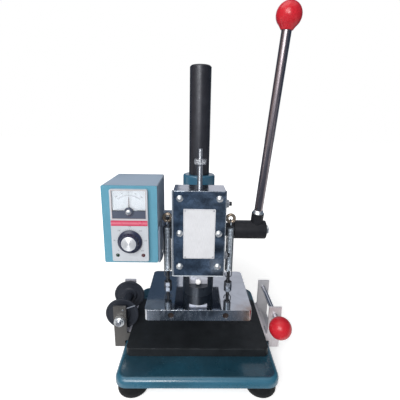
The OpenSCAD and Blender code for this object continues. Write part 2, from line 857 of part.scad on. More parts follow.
module gearbox_body() {
    slot_x0 = -ram_w / 2 - slide_clear;
    slot_x1 = ram_w / 2 + gib_t + 2 * slide_clear;
    slot_back = ram_back + slide_clear;
    color("#b4bac6") difference() {
        union() {
            translate([-gearbox_w / 2, -cover_y, gearbox_z]) cube([gearbox_w, gearbox_top_d, gearbox_h]);
            translate([-gearbox_w / 2, -cover_y, gearbox_z])
                cube([gearbox_w, gearbox_back + cover_y, gearbox_h - gearbox_step_h]);
        }
        translate([slot_x0, -cover_y - 1, gearbox_z - 1])
            cube([slot_x1 - slot_x0, slot_back + cover_y + 1, ram_top - gearbox_z + 1 + pass_gap]);
        translate([0, pinion_y, pinion_z]) {
            along_x(-pinion_w / 2 - 1, pinion_w / 2 + 1, 2 * pinion_pocket_r);
            along_x(-gearbox_w / 2 - 1, gearbox_w / 2 + 1, bush_d);
        }
        translate([0, ram_y, ram_top]) cylinder(h = gearbox_top - ram_top + 1, d = stop_d + 2 * pass_gap);
        for (side = [-1, 1], z = cover_screw_z) translate([side * cover_screw_x, 0, z])
            along_y(-cover_y - 1, cover_front + cover_screw_l + 1, cover_screw_shank_d + 2 * hole_clear);
        for (side = [-1, 1], z = mount_bolt_z) translate([side * mount_bolt_x, 0, z])
            along_y(gearbox_back - mount_bolt_l + pad_t - 1, gearbox_back + 1, mount_bolt_d + 2 * hole_clear);
        for (z = gib_screw_z) translate([gearbox_w / 2, gib_screw_y, z])
            along_x(-gearbox_w / 2, 1, gib_screw_d + 2 * hole_clear);
        both_sides() translate([gearbox_w / 2, spring_y, eye_z])
            along_x(-eye_seat - 0.5, 1, eye_shank_d + 2 * hole_clear);
        for (z = channel_screw_z) translate([-gearbox_w / 2, channel_screw_y, z])
            along_x(-1, channel_screw_l, channel_screw_d + 2 * hole_clear);
    }
}

module mount_bolts() {
    color("#9a9da0") for (side = [-1, 1], z = mount_bolt_z)
    translate([side * mount_bolt_x, gearbox_back + pad_t, z]) {
        along_y(-mount_bolt_l, mount_bolt_head_h / 2, mount_bolt_d);
        difference() {
            along_y(0, mount_bolt_head_h, mount_bolt_head_d);
            translate([0, mount_bolt_head_h + 1, 0]) rotate([90, 0, 0]) hexagon(mount_bolt_d - 1, 4);
        }
    }
}

module front_cover() {
    color("#39445a") translate([0, -cover_y, gearbox_z + gearbox_h / 2]) rotate([90, 0, 0]) difference() {
        rounded_plate(gearbox_w, gearbox_h, cover_t, cover_corner_r);
        for (side = [-1, 1], z = cover_screw_z)
            translate([side * cover_screw_x, z - gearbox_z - gearbox_h / 2, -1])
                cylinder(h = cover_t + 2, d = cover_screw_shank_d + 2 * hole_clear);
    }
}

// Domed head drawn as a slice of a sphere, with its flat side at the origin
module dome(d, h) {
    r = (d * d / 4 + h * h) / (2 * h);
    rotate_extrude() intersection() {
        translate([0, h - r]) circle(r, $fn = 360);
        square([d / 2, h]);
    }
}

module cover_screws() {
    color("#d8dade") for (side = [-1, 1], z = cover_screw_z)
    translate([side * cover_screw_x, cover_front, z]) {
        rotate([90, 0, 0]) dome(cover_screw_d, cover_screw_head_h);
        along_y(-eps, cover_screw_l, cover_screw_shank_d);
    }
}

module cover_plate() {
    color("#e8e8ea") translate([0, cover_front, plate_z]) rotate([90, 0, 0])
        rounded_plate(plate_w, plate_h, plate_t, plate_corner_r);
}

module gib() {
    color("#b08d57") translate([ram_w / 2 + slide_clear, ram_front, gib_z])
        cube([gib_t, ram_back - ram_front, gib_h]);
}

module gib_screws() {
    gib_outer = ram_w / 2 + slide_clear + gib_t;
    color("#8f9296") for (z = gib_screw_z) translate([0, gib_screw_y, z]) {
        along_x(gib_outer, gearbox_w / 2 + gib_screw_out, gib_screw_d);
        translate([gearbox_w / 2, 0, 0]) rotate([0, 90, 0]) hexagon(gib_nut, gib_nut_t);
    }
}

module shaft_bushes() {
    color("#b08d57") translate([0, pinion_y, pinion_z]) both_sides() difference() {
        union() {
            along_x(pinion_w / 2 + 1, gearbox_w / 2 + eps, bush_d);
            along_x(gearbox_w / 2, gearbox_w / 2 + bush_flange_t, bush_flange_d);
        }
        along_x(0, gearbox_w, shaft_bore_d);
    }
}

module eye_screws() {
    shank_end = spring_x - eye_ring_r;
    color("#b78e5a") both_sides() translate([0, spring_y, eye_z]) {
        translate([spring_x, 0, 0]) rotate([90, 0, 0])
            rotate_extrude() translate([eye_ring_r, 0]) circle(d = eye_t, $fn = 24);
        along_x(gearbox_w / 2 - eye_seat, shank_end, eye_shank_d - 0.6);
        along_x(gearbox_w / 2, gearbox_w / 2 + 1.5, eye_shank_d + 3);
    }
}

// Control box

module channel_bracket() {
    x0 = box_x1;
    x1 = -gearbox_w / 2;
    color("#6d7076") difference() {
        union() {
            translate([x0, channel_y0, channel_z]) difference() {
                cube([x1 - x0, channel_w, channel_h]);
                translate([channel_t, -1, -1])
                    cube([x1 - x0 - 2 * channel_t, channel_w - channel_t + 1, channel_h + 2]);
            }
            translate([x0, flange_front, flange_z])
                cube([flange_t, channel_y1 - flange_front, flange_top - flange_z]);
        }
        for (z = channel_screw_z) translate([0, channel_screw_y, z])
            along_x(x0 - 1, x1 + 1, channel_screw_d + 2 * hole_clear);
    }
}

module channel_screws() {
    color("#9a9da0") for (z = channel_screw_z) translate([0, channel_screw_y, z]) {
        translate([-gearbox_w / 2 - channel_t, 0, 0]) {
            along_x(-channel_screw_head_h, 0, channel_screw_head_d);
            along_x(-eps, channel_t + channel_screw_l - 1, channel_screw_d);
        }
        translate([box_x1 - sheet_t, 0, 0]) {
            along_x(-channel_screw_head_h, 0, channel_screw_head_d);
            along_x(-eps, sheet_t + channel_t + 5, channel_screw_d);
            translate([sheet_t + channel_t, 0, 0]) rotate([0, 90, 0]) hexagon(channel_screw_head_d, 4);
        }
    }
}

module control_box() {
    color("#6eb4cd") difference() {
        union() {
            difference() {
                translate([box_mid_x, box_y1, box_z + box_h / 2]) rotate([90, 0, 0])
                    rounded_plate(box_w, box_h, box_d, box_corner_r);
                translate([box_x0 + sheet_t, box_y0 + sheet_t, box_z + sheet_t])
                    cube([box_w - 2 * sheet_t, box_d, box_h - 2 * sheet_t]);
            }
            rear_corners() translate([-rear_tab / 2 - eps, -2 * sheet_t, -rear_tab / 2 - eps])
                cube([rear_tab + 2 * eps, sheet_t, rear_tab + 2 * eps]);
        }
        translate([box_mid_x - case_w / 2 - case_gap, box_y0 - 1, bezel_mid_z - case_h / 2 - case_gap])
            cube([case_w + 2 * case_gap, sheet_t + 2, case_h + 2 * case_gap]);
        for (z = channel_screw_z) translate([box_x1, channel_screw_y, z])
            along_x(-sheet_t - 1, 1, channel_screw_d + 2 * hole_clear);
        rear_corners() along_y(-3 * sheet_t, 1, rear_screw_d + 2 * hole_clear);
    }
}

module rear_corners() {
    inset = sheet_t + rear_tab / 2;
    translate([box_mid_x, box_y1, box_z + box_h / 2]) for (sx = [-1, 1], sz = [-1, 1])
        translate([sx * (box_w / 2 - inset), 0, sz * (box_h / 2 - inset)]) children();
}

module rear_cover() {
    lid_gap = 0.3;
    color("#62a4bd") difference() {
        translate([box_x0 + sheet_t + lid_gap, box_y1 - sheet_t, box_z + sheet_t + lid_gap])
            cube([box_w - 2 * sheet_t - 2 * lid_gap, sheet_t, box_h - 2 * sheet_t - 2 * lid_gap]);
        rear_corners() along_y(-3 * sheet_t, 1, rear_screw_d + 2 * hole_clear);
        gland_place() cylinder(h = 20, d = gland_d + 2 * hole_clear, center = true);
    }
}

module gland_place() {
    translate([box_mid_x, box_y1, box_z + 22]) rotate([-90, 0, 0]) children();
}

module rear_screws() {
    color("#b4b6b8") rear_corners() {
        rotate([-90, 0, 0]) dome(rear_screw_head_d, rear_screw_head_h);
        along_y(-2 * sheet_t - 3, eps, rear_screw_d);
    }
}

module cable_gland() {
    color("#26282c") gland_place() difference() {
        union() {
            translate([0, 0, -sheet_t - gland_nut_t]) hexagon(gland_hex, gland_nut_t);
            translate([0, 0, -sheet_t - gland_nut_t - 2])
                cylinder(h = gland_nut_t + sheet_t + 3, d = gland_d);
            hexagon(gland_hex, gland_nut_t);
            translate([0, 0, gland_nut_t - eps])
                cylinder(h = gland_l - gland_nut_t, d1 = gland_d + 1, d2 = gland_d - 3);
        }
        cylinder(h = 4 * gland_l, d = gland_bore_d, center = true);
    }
}

module bezel() {
    front_y = box_y0 - bezel_t;
    color("#dcdcdc") difference() {
        translate([box_mid_x, box_y0, bezel_mid_z]) rotate([90, 0, 0])
            rounded_plate(bezel_w, bezel_h, bezel_t, bezel_corner_r);
        translate([box_mid_x - meter_w / 2, front_y - 1, meter_z - meter_h / 2])
            cube([meter_w, meter_depth + 1, meter_h]);
        translate([box_mid_x, 0, knob_z]) along_y(front_y - 1, box_y0 + 1, pot_shaft_d + 2 * pass_gap);
        translate([box_mid_x, 0, needle_z]) along_y(front_y, box_y0 + 1, needle_pin_d + 2 * run_clear);
        for (side = [-1, 1]) translate([box_mid_x + side * lamp_x, 0, lamp_z])
            along_y(front_y - 1, box_y0 + 1, lamp_d);
    }
}

module controller_case() {
    color("#2c2e31") difference() {
        translate([box_mid_x - case_w / 2, box_y0, bezel_mid_z - case_h / 2]) cube([case_w, case_d, case_h]);
        translate([box_mid_x, 0, knob_z])
            along_y(box_y0 - 1, box_y0 + pot_t + 6, pot_shaft_d + 2 * run_clear);
        translate([box_mid_x, 0, needle_z]) along_y(box_y0 - 1, box_y0 + 6, needle_pin_d + 2 * run_clear);
    }
}

module meter_dial() {
    y1 = box_y0 - bezel_t + meter_depth;
    color("#f2f4f5") difference() {
        translate([box_mid_x - meter_w / 2, y1 - dial_t, meter_z - meter_h / 2 + meter_band_h])
            cube([meter_w, dial_t, meter_h - meter_band_h]);
        translate([box_mid_x, 0, needle_z]) along_y(y1 - 5, y1 + 5, needle_hub_d + 2 * pass_gap);
    }
}

// Dark cover over the pivot of the pointer, with a round cap
module meter_band() {
    y0 = box_y0 - bezel_t;
    color("#33373d") difference() {
        translate([box_mid_x - meter_w / 2, y0 + window_t, meter_z - meter_h / 2])
            cube([meter_w, meter_depth - window_t, meter_band_h]);
        translate([box_mid_x, 0, needle_z])
            along_y(y0 + window_t + 0.6, box_y0 + 1, 2 * needle_hub_d + 2);
        translate([box_mid_x - meter_w / 2 - 1, y0 + window_t + 0.6, needle_z - 0.5])
            cube([meter_w + 2, needle_t + 1.2, meter_band_h]);
    }
}

module meter_window() {
    y0 = box_y0 - bezel_t;
    color("#d8e4ea", 0.4) {
        translate([box_mid_x - meter_w / 2, y0, meter_z - meter_h / 2]) cube([meter_w, window_t, meter_h]);
        translate([box_mid_x, y0 + eps, needle_z]) rotate([90, 0, 0]) dome(meter_cap_d, 2);
    }
}

module meter_needle() {
    y0 = box_y0 - bezel_t + window_t + 1.1;
    color("#c03a34") translate([box_mid_x, y0, needle_z]) {
        along_y(0, needle_t + 0.6, needle_hub_d);
        along_y(0, meter_depth - window_t + 2, needle_pin_d);
        translate([0, needle_t, 0]) rotate([90, 0, 0]) linear_extrude(needle_t)
            polygon([[-0.7, 0], [0.7, 0], [0.25, needle_l], [-0.25, needle_l]]);
    }
}

module red_strip() {
    color("#d74669") translate([box_mid_x, box_y0 - bezel_t, strip_z]) rotate([90, 0, 0])
        rounded_plate(strip_w, strip_h, strip_t, 0.5);
}

module lamp(tone, side) {
    front_y = box_y0 - bezel_t;
    color(tone) translate([box_mid_x + side * lamp_x, 0, lamp_z]) {
        along_y(front_y, box_y0, lamp_d);
        translate([0, front_y + eps, 0]) rotate([90, 0, 0]) dome(lamp_d, 1.6);
    }
}

module lamp_green() {
    lamp("#1f4a34", -1);
}

module lamp_red() {
    lamp("#6a1f24", 1);
}

module knob_place() {
    translate([box_mid_x, box_y0 - bezel_t - pass_gap, knob_z]) rotate([90, 0, 0]) children();
}

module knob_skirt() {
    grip_d = knob_cap_d + 4;
    color("#26282c") knob_place() difference() {
        rotate_extrude() polygon([[0, 0], [knob_d / 2, 0], [knob_d / 2, knob_skirt_h / 2],
            [grip_d / 2 + 1, knob_skirt_h], [grip_d / 2 - 0.6, knob_h], [0, knob_h]]);
        translate([0, 0, -1]) cylinder(h = knob_h, d = pot_shaft_d);
        translate([0, 0, knob_h - 1]) cylinder(h = 2, d = knob_cap_d);
        for (k = [0 : 15]) rotate([0, 0, k * 360 / 16])
            translate([grip_d / 2 + 0.9, 0, knob_skirt_h]) cylinder(h = knob_h, d = 2.4);
    }
}

module knob_cap() {
    color("#d2d4d8") knob_place() translate([0, 0, knob_h - 1]) {
        cylinder(h = 1, d = knob_cap_d);
        translate([0, 0, 1 - eps]) dome(knob_cap_d, 1.2);
    }
}

module knob_shaft() {
    color("#b9bcc0") translate([box_mid_x, 0, knob_z])
        along_y(box_y0 - bezel_t - pass_gap - knob_h + 2, box_y0 + pot_t + 5, pot_shaft_d);
}

// Lever and rack drive

function involute(angle) = tan(angle) - angle * PI / 180;
function roll_angle(r) = acos(min(1, gear_base_r / r));
function half_tooth(r) = (90 / pinion_teeth) - backlash / 4 / pitch_r * 180 / PI
    + (involute(pressure_angle) - involute(roll_angle(r))) * 180 / PI;
function flank_radius(k) = gear_base_r + (tip_r - gear_base_r) * k / flank_steps;
function polar(r, angle) = [r * cos(angle), r * sin(angle)];
function tooth_points(mid) = concat(
    [polar(root_r, mid - half_tooth(gear_base_r))],
    [for (k = [0 : flank_steps]) polar(flank_radius(k), mid - half_tooth(flank_radius(k)))],
    [for (k = [flank_steps : -1 : 0]) polar(flank_radius(k), mid + half_tooth(flank_radius(k)))],
    [polar(root_r, mid + half_tooth(gear_base_r))]);

module pinion() {
    color("#8d9094") translate([0, pinion_y, pinion_z]) rotate([0, 90, 0]) difference() {
        translate([0, 0, -pinion_w / 2]) linear_extrude(pinion_w) rotate(-90)
            polygon([for (i = [0 : pinion_teeth - 1]) each tooth_points(i * 360 / pinion_teeth)]);
        translate([0, 0, -pinion_w]) cylinder(h = 2 * pinion_w, d = shaft_d);
        translate([-shaft_d / 2 - key_w / 2, -key_w / 2, -pinion_w]) cube([key_w, key_w, 2 * pinion_w]);
    }
}

module pinion_key() {
    color("#6f7276") translate([-key_l / 2, pinion_y - key_w / 2, pinion_z + shaft_d / 2 - key_w / 2])
        cube([key_l, key_w, key_w]);
}

module pinion_shaft() {
    color("#a9acb0") translate([0, pinion_y, pinion_z]) difference() {
        along_x(shaft_left_x, hub_end_x, shaft_d);
        translate([-key_l / 2, -key_w / 2, shaft_d / 2 - key_w / 2]) cube([key_l, key_w, key_w]);
        along_x(hub_end_x - hub_bolt_l - 1, hub_end_x + 1, hub_bolt_d + 2 * hole_clear);
        lever_place() translate([0, 0, socket_h - socket_depth]) cylinder(h = socket_depth, d = rod_d);
    }
}

// Collar on the left end of the shaft and spacer between the right bush and the hub
module shaft_collar() {
    color("#2f3236") translate([0, pinion_y, pinion_z]) difference() {
        union() {
            along_x(shaft_left_x, shaft_left_x + collar_ring_t, collar_ring_d);
            along_x(flange_end_x, hub_start_x, spacer_d);
        }
        along_x(shaft_left_x - 1, hub_start_x + 1, shaft_d);
    }
}

// Moves its children from the shaft axis to the foot of the lever, along the lever's lean
module lever_place() {
    translate([socket_x, 0, 0]) rotate([lean_front, lean_side, 0]) children();
}

module lever_hub() {
    color("#1f2123") translate([0, pinion_y, pinion_z]) difference() {
        union() {
            along_x(hub_start_x, hub_end_x - hub_chamfer, hub_d);
            translate([hub_end_x - hub_chamfer - eps, 0, 0]) rotate([0, 90, 0])
                cylinder(h = hub_chamfer + eps, d1 = hub_d, d2 = hub_d - 2 * hub_chamfer);
            lever_place() cylinder(h = socket_h, d = socket_d);
        }
        along_x(hub_start_x - 1, hub_end_x + 1, shaft_d);
        lever_place() translate([0, 0, socket_h - socket_depth]) cylinder(h = socket_depth + 1, d = rod_d);
    }
}

module hub_bolt() {
    color("#c2c4c6") translate([hub_end_x, pinion_y, pinion_z]) {
        along_x(0, hub_washer_t, hub_washer_d);
        translate([hub_washer_t, 0, 0]) rotate([0, 90, 0]) hexagon(hub_bolt_head, hub_bolt_head_h);
        along_x(-hub_bolt_l, hub_washer_t + eps, hub_bolt_d);
    }
}

module lever_rod() {
    color("#c8cace") translate([0, pinion_y, pinion_z]) lever_place()
        translate([0, 0, socket_h - socket_depth])
            cylinder(h = lever_l - ball_d / 2 + rod_in_ball - socket_h + socket_depth, d = rod_d);
}

module lever_ball() {
    color("#cd2d37") translate([0, pinion_y, pinion_z]) lever_place() translate([0, 0, lever_l])
        knob_ball(ball_d, ball_neck_d, ball_neck_l, rod_d, rod_in_ball - ball_d / 2);
}

// Ram

module rack_space() {
    half = tooth_pitch / 4 + backlash / 4;
    slope = tan(pressure_angle);
    pitch_y = pinion_y - pitch_r;
    depth = 1.25 * gear_module;
    rise = gear_module + 1;
    polygon([[pitch_y - depth, -half + depth * slope], [pitch_y - depth, half - depth * slope],
        [pitch_y + rise, half + rise * slope], [pitch_y + rise, -half - rise * slope]]);
}

module ram() {
    color("#b8bac2") difference() {
        translate([-ram_w / 2, ram_front, ram_bottom])
            cube([ram_w, ram_back - ram_front, ram_top - ram_bottom]);
        for (k = [rack_first : rack_last]) translate([-ram_w, 0, pinion_z + k * tooth_pitch])
            rotate([90, 0, 90]) linear_extrude(2 * ram_w) rack_space();
        translate([0, ram_y, ram_top - stop_seat]) cylinder(h = stop_seat + 1, d = stop_d);
        translate([0, ram_y, ram_bottom - 1]) cylinder(h = ram_screw_l + 2, d = ram_screw_d + 2 * hole_clear);
        translate([0, 0, front_bolt_z])
            along_y(ram_front - 1, ram_front + front_bolt_l, front_bolt_d + 2 * hole_clear);
    }
}

module stop_rod() {
    color("#c2c4c6") translate([0, ram_y, 0]) {
        translate([0, 0, ram_top - stop_seat])
            cylinder(h = stop_nut_z + stop_nut_h + 1 - ram_top + stop_seat, d = stop_d);
        cylinder_between(stop_nut_z + stop_nut_h, gearbox_top + stop_h, stop_tip_d);
        difference() {
            cylinder_between(stop_nut_z, stop_nut_z + stop_nut_h, stop_nut_d);
            translate([0, 0, stop_nut_z]) knurl(stop_nut_d, stop_nut_h + 1);
        }
    }
}

module cylinder_between(z0, z1, d) {
    translate([0, 0, z0]) cylinder(h = z1 - z0, d = d);
}

// Screw through the boss into the ram, front bolt of the ram, screws through the heat plate, heaters
module ram_fasteners() {
    color("#c2c4c6") {
        translate([0, boss_y, heat_top]) {
            cylinder(h = ram_screw_head_h, d = ram_screw_head_d);
            cylinder(h = ram_bottom - heat_top + ram_screw_l, d = ram_screw_d);
        }
        translate([0, ram_front, front_bolt_z]) {
            rotate([90, 0, 0]) dome(front_bolt_head_d, front_bolt_head_h);
            along_y(-eps, front_bolt_l, front_bolt_d);
        }
        translate([0, boss_y, heat_z]) four_corners(plate_screw_r * cos(45), plate_screw_r * sin(45)) {
            cylinder(h = plate_screw_head_h, d = plate_screw_head_d);
            cylinder(h = heat_t + 7, d = plate_screw_d);
        }
        for (side = [-1, 1]) translate([side * heater_x, heat_y - heat_d / 2, heater_z])
            along_y(heater_recess, heater_recess + heater_l, heater_d);
    }
}

module coupling_boss() {
    color("#24272a") difference() {
        translate([0, boss_y, boss_z]) cylinder(h = boss_h, d = boss_d);
        translate([-ram_w / 2, boss_y - boss_d, ram_bottom]) cube([ram_w, 2 * boss_d, boss_h]);
        translate([0, boss_y, boss_z - 1]) {
            cylinder(h = ram_screw_head_h + 1, d = ram_screw_head_d);
            cylinder(h = boss_h + 2, d = ram_screw_d + 2 * hole_clear);
            four_corners(plate_screw_r * cos(45), plate_screw_r * sin(45))
                cylinder(h = 9, d = plate_screw_d + 2 * hole_clear);
        }
    }
}

module heat_plate() {
    color("#aab0b8") difference() {
        translate([0, heat_y, heat_z]) rounded_plate(heat_w, heat_d, heat_t, heat_corner_r);
        translate([0, boss_y, heat_z - 1]) four_corners(plate_screw_r * cos(45), plate_screw_r * sin(45)) {
            cylinder(h = plate_screw_head_h + 1, d = plate_screw_head_d);
            cylinder(h = heat_t + 2, d = plate_screw_d + 2 * hole_clear);
        }
        for (side = [-1, 1]) translate([side * heater_x, heat_y - heat_d / 2, heater_z])
            along_y(-1, heater_recess + heater_l, heater_d);
        both_sides() translate([spring_x, spring_y, heat_top - stud_seat])
            cylinder(h = stud_seat + 1, d = stud_d + 2 * hole_clear);
    }
}

module spring_studs() {
    color("#2a2c2f") both_sides() translate([spring_x, spring_y, 0]) {
        difference() {
            union() {
                cylinder_between(heat_top - stud_seat, stud_top - stud_neck_l, stud_d);
                cylinder_between(stud_top - stud_neck_l - eps, stud_top, stud_neck_d);
            }
            translate([0, 0, stud_hole_z]) along_x(-stud_d, stud_d, stud_hole_d);
        }
        cylinder_between(heat_top, heat_top + stud_washer_t, stud_washer_d);
        translate([0, 0, heat_top + stud_washer_t]) hexagon(stud_nut, stud_nut_h);
    }
}

// Return springs: one unbroken wire with a hook at each end.
// A station of the wire is its point, its outward normal and its tangent.
function radial(a) = [cos(a), sin(a), 0];
function around(a) = [-sin(a), cos(a), 0];
function hook_station(a, z, up, g) = [
    radial(a) * spring_r * cos(g) + [0, 0, z + up * spring_r * sin(g)],
    radial(a) * cos(g) + [0, 0, up * sin(g)],
    -radial(a) * sin(g) + [0, 0, up * cos(g)]];
function leg_station(a, z, up) = [radial(a) * spring_r + [0, 0, z], radial(a), [0, 0, up]];
function elbow_station(a, z, up, s) = [
    radial(a - up * elbow_turn * (1 - sin(s))) * spring_r + [0, 0, z + up * elbow_h * (1 - cos(s))],
    radial(a - up * elbow_turn * (1 - sin(s))),
    around(a - up * elbow_turn * (1 - sin(s))) * up * cos(s) + [0, 0, up * sin(s)]];
function coil_station(a, z) = [radial(a) * spring_r + [0, 0, z], radial(a), around(a)];
function end_stations(a, z_hook, z_coil, up) = concat(
    [for (s = [0 : 30 : 90]) elbow_station(a, z_coil, up, s)],
    [leg_station(a, z_hook, up)],
    [for (g = [22.5 : 22.5 : 180]) hook_station(a, z_hook, up, g)],
    [let (last = hook_station(a, z_hook, up, 180)) [last[0] - [0, 0, up * wire_d], last[1], last[2]]]);
function reversed(list) = [for (i = [len(list) - 1 : -1 : 0]) list[i]];
function turned(list) = [for (s = list) [s[0], s[1], -s[2]]];

low_angle = 0;
top_angle = low_angle + 2 * elbow_turn + coil_turn;
coil_steps = ceil(coil_turn / 360 * curl_rings);
spring_stations = concat(
    turned(reversed(end_stations(low_angle, hook_low_z, coil_z0, -1))),
    [for (i = [1 : coil_steps - 1]) coil_station(low_angle + elbow_turn + coil_turn * i / coil_steps,
        coil_z0 + (coil_z1 - coil_z0) * i / coil_steps)],
    end_stations(top_angle, hook_top_z, coil_z1, 1));

// Least gap of the wire to itself, between stations that lie more than half a curl apart along the wire
apart = ceil(curl_rings / 2);
spring_gap = min([for (i = [0 : len(spring_stations) - 1], j = [i + apart : 1 : len(spring_stations) - 1])
    norm(spring_stations[i][0] - spring_stations[j][0])]) - wire_d;
echo(least_spring_gap = spring_gap);

function wire_ring(s) = [for (k = [0 : wire_sides - 1]) let (a = k * 360 / wire_sides)
    s[0] + (s[1] * cos(a) + cross(s[2], s[1]) * sin(a)) * wire_d / 2];

module wire(stations) {
    last = len(stations) - 1;
    points = [for (s = stations) each wire_ring(s)];
    sides = [for (i = [0 : last - 1], k = [0 : wire_sides - 1])
        let (n = (k + 1) % wire_sides, a = i * wire_sides, b = a + wire_sides)
        each [[a + k, b + k, a + n], [a + n, b + k, b + n]]];
    caps = [for (k = [1 : wire_sides - 2]) each [[0, k, k + 1],
        [last * wire_sides, last * wire_sides + k + 1, last * wire_sides + k]]];
    polyhedron(points, concat(sides, caps));
}

module return_springs() {
    color("#b4b6ba") both_sides() translate([spring_x, spring_y, 0]) wire(spring_stations);
}

base_casting();
rubber_feet();
foot_screws();
column();
column_bolt();
table_plate();
table_screws();
bracket_left();
bracket_right();
bracket_screws();
brake_spring();
spool_axle();
spool_discs();
axle_nut();
rewind_axle();
rewind_ball();
head_casting();
clamp_bolts();
gearbox_body();
mount_bolts();
front_cover();
cover_screws();
cover_plate();
gib();
gib_screws();
shaft_bushes();
eye_screws();
channel_bracket();
channel_screws();
control_box();
rear_cover();
rear_screws();
cable_gland();
bezel();
controller_case();
meter_dial();
meter_band();
meter_window();
meter_needle();
red_strip();
lamp_green();
lamp_red();
knob_skirt();
knob_cap();
knob_shaft();
pinion_shaft();
pinion();
pinion_key();
shaft_collar();
lever_hub();
hub_bolt();
lever_rod();
lever_ball();
ram();
stop_rod();
ram_fasteners();
coupling_boss();
heat_plate();
spring_studs();
return_springs();
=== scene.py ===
"""Looks of a bench-top hot foil stamping machine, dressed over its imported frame.

Metres, +Z up, -Y towards the user.
"""

import math

import bmesh
import bpy
from mathutils import Matrix, Vector


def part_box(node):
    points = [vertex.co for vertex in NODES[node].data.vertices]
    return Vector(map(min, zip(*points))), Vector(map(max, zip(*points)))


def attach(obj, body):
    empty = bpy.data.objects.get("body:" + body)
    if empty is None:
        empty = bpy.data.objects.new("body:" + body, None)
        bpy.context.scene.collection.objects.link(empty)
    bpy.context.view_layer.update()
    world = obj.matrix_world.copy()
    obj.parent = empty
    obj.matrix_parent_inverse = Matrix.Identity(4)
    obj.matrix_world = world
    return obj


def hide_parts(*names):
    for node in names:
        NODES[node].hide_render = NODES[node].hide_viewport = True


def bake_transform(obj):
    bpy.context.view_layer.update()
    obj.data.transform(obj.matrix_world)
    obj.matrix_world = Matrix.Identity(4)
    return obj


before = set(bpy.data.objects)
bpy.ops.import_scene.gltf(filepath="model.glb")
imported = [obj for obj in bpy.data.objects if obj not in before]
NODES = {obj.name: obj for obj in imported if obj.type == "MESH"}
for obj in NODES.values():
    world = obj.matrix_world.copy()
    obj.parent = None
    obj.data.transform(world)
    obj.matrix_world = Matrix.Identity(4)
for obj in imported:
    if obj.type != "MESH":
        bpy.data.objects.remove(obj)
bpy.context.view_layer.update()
MM = 0.001
scene = bpy.context.scene
scene.view_settings.view_transform = "Standard"


# Colours

def srgb(r, g, b):
    """Linear colour of an 8-bit display colour."""
    def one(c):
        c /= 255
        return c / 12.92 if c <= 0.04045 else ((c + 0.055) / 1.055) ** 2.4
    return (one(r), one(g), one(b), 1.0)


def shade(colour, k):
    """Colour made darker or lighter by a factor."""
    return tuple(min(1.0, c * k) for c in colour[:3]) + (1.0,)


CHIP = (0.45, 0.45, 0.43, 1)
NEAR_BLACK = (0.03, 0.04, 0.06, 1)
BARE_STEEL = (0.28, 0.30, 0.335, 1)
MOULD_DUST = (0.5, 0.5, 0.5, 1)
FLOOR_DUST = (0.10, 0.10, 0.10, 1)
PAINTED_SHEEN = (0.80, 0.42, 0.50, 1)


# Node helpers

class Graph:
    """Short calls for the nodes of a node tree."""

    def __init__(self, node_tree):
        self.nodes = node_tree.nodes
        self.links = node_tree.links

    def put(self, socket, value):
        """Links a socket to another one, or gives it a constant."""
        if isinstance(value, bpy.types.NodeSocket):
            self.links.new(value, socket)
        else:
            socket.default_value = value

    def ramp(self, fac, low, high, a=0.0, b=1.0, smooth=False):
        """Maps low to a and high to b, and stays between them."""
        node = self.nodes.new("ShaderNodeMapRange")
        if smooth:
            node.interpolation_type = "SMOOTHSTEP"
        self.put(node.inputs["Value"], fac)
        for key, value in zip(("From Min", "From Max", "To Min", "To Max"), (low, high, a, b)):
            node.inputs[key].default_value = value
        return node.outputs["Result"]

    def mix(self, fac, a, b):
        """Colour a where fac is 0 and b where it is 1."""
        node = self.nodes.new("ShaderNodeMix")
        node.data_type = "RGBA"
        for slot, value in ((0, fac), (6, a), (7, b)):
            self.put(node.inputs[slot], value)
        return node.outputs[2]

    def math(self, kind, a, b=0.0):
        """Number from a sum, product or the like."""
        node = self.nodes.new("ShaderNodeMath")
        node.operation = kind
        self.put(node.inputs[0], a)
        self.put(node.inputs[1], b)
        return node.outputs[0]

    def measure(self, kind, vector, other=(0, 0, 0)):
        """Number that a vector operation gives, such as a distance."""
        node = self.nodes.new("ShaderNodeVectorMath")
        node.operation = kind
        self.links.new(vector, node.inputs[0])
        self.put(node.inputs[1], other)
        return node.outputs["Value"]

    def split(self, vector, name):
        """One component of a vector."""
        node = self.nodes.new("ShaderNodeSeparateXYZ")
        self.links.new(vector, node.inputs[0])
        return node.outputs[name]


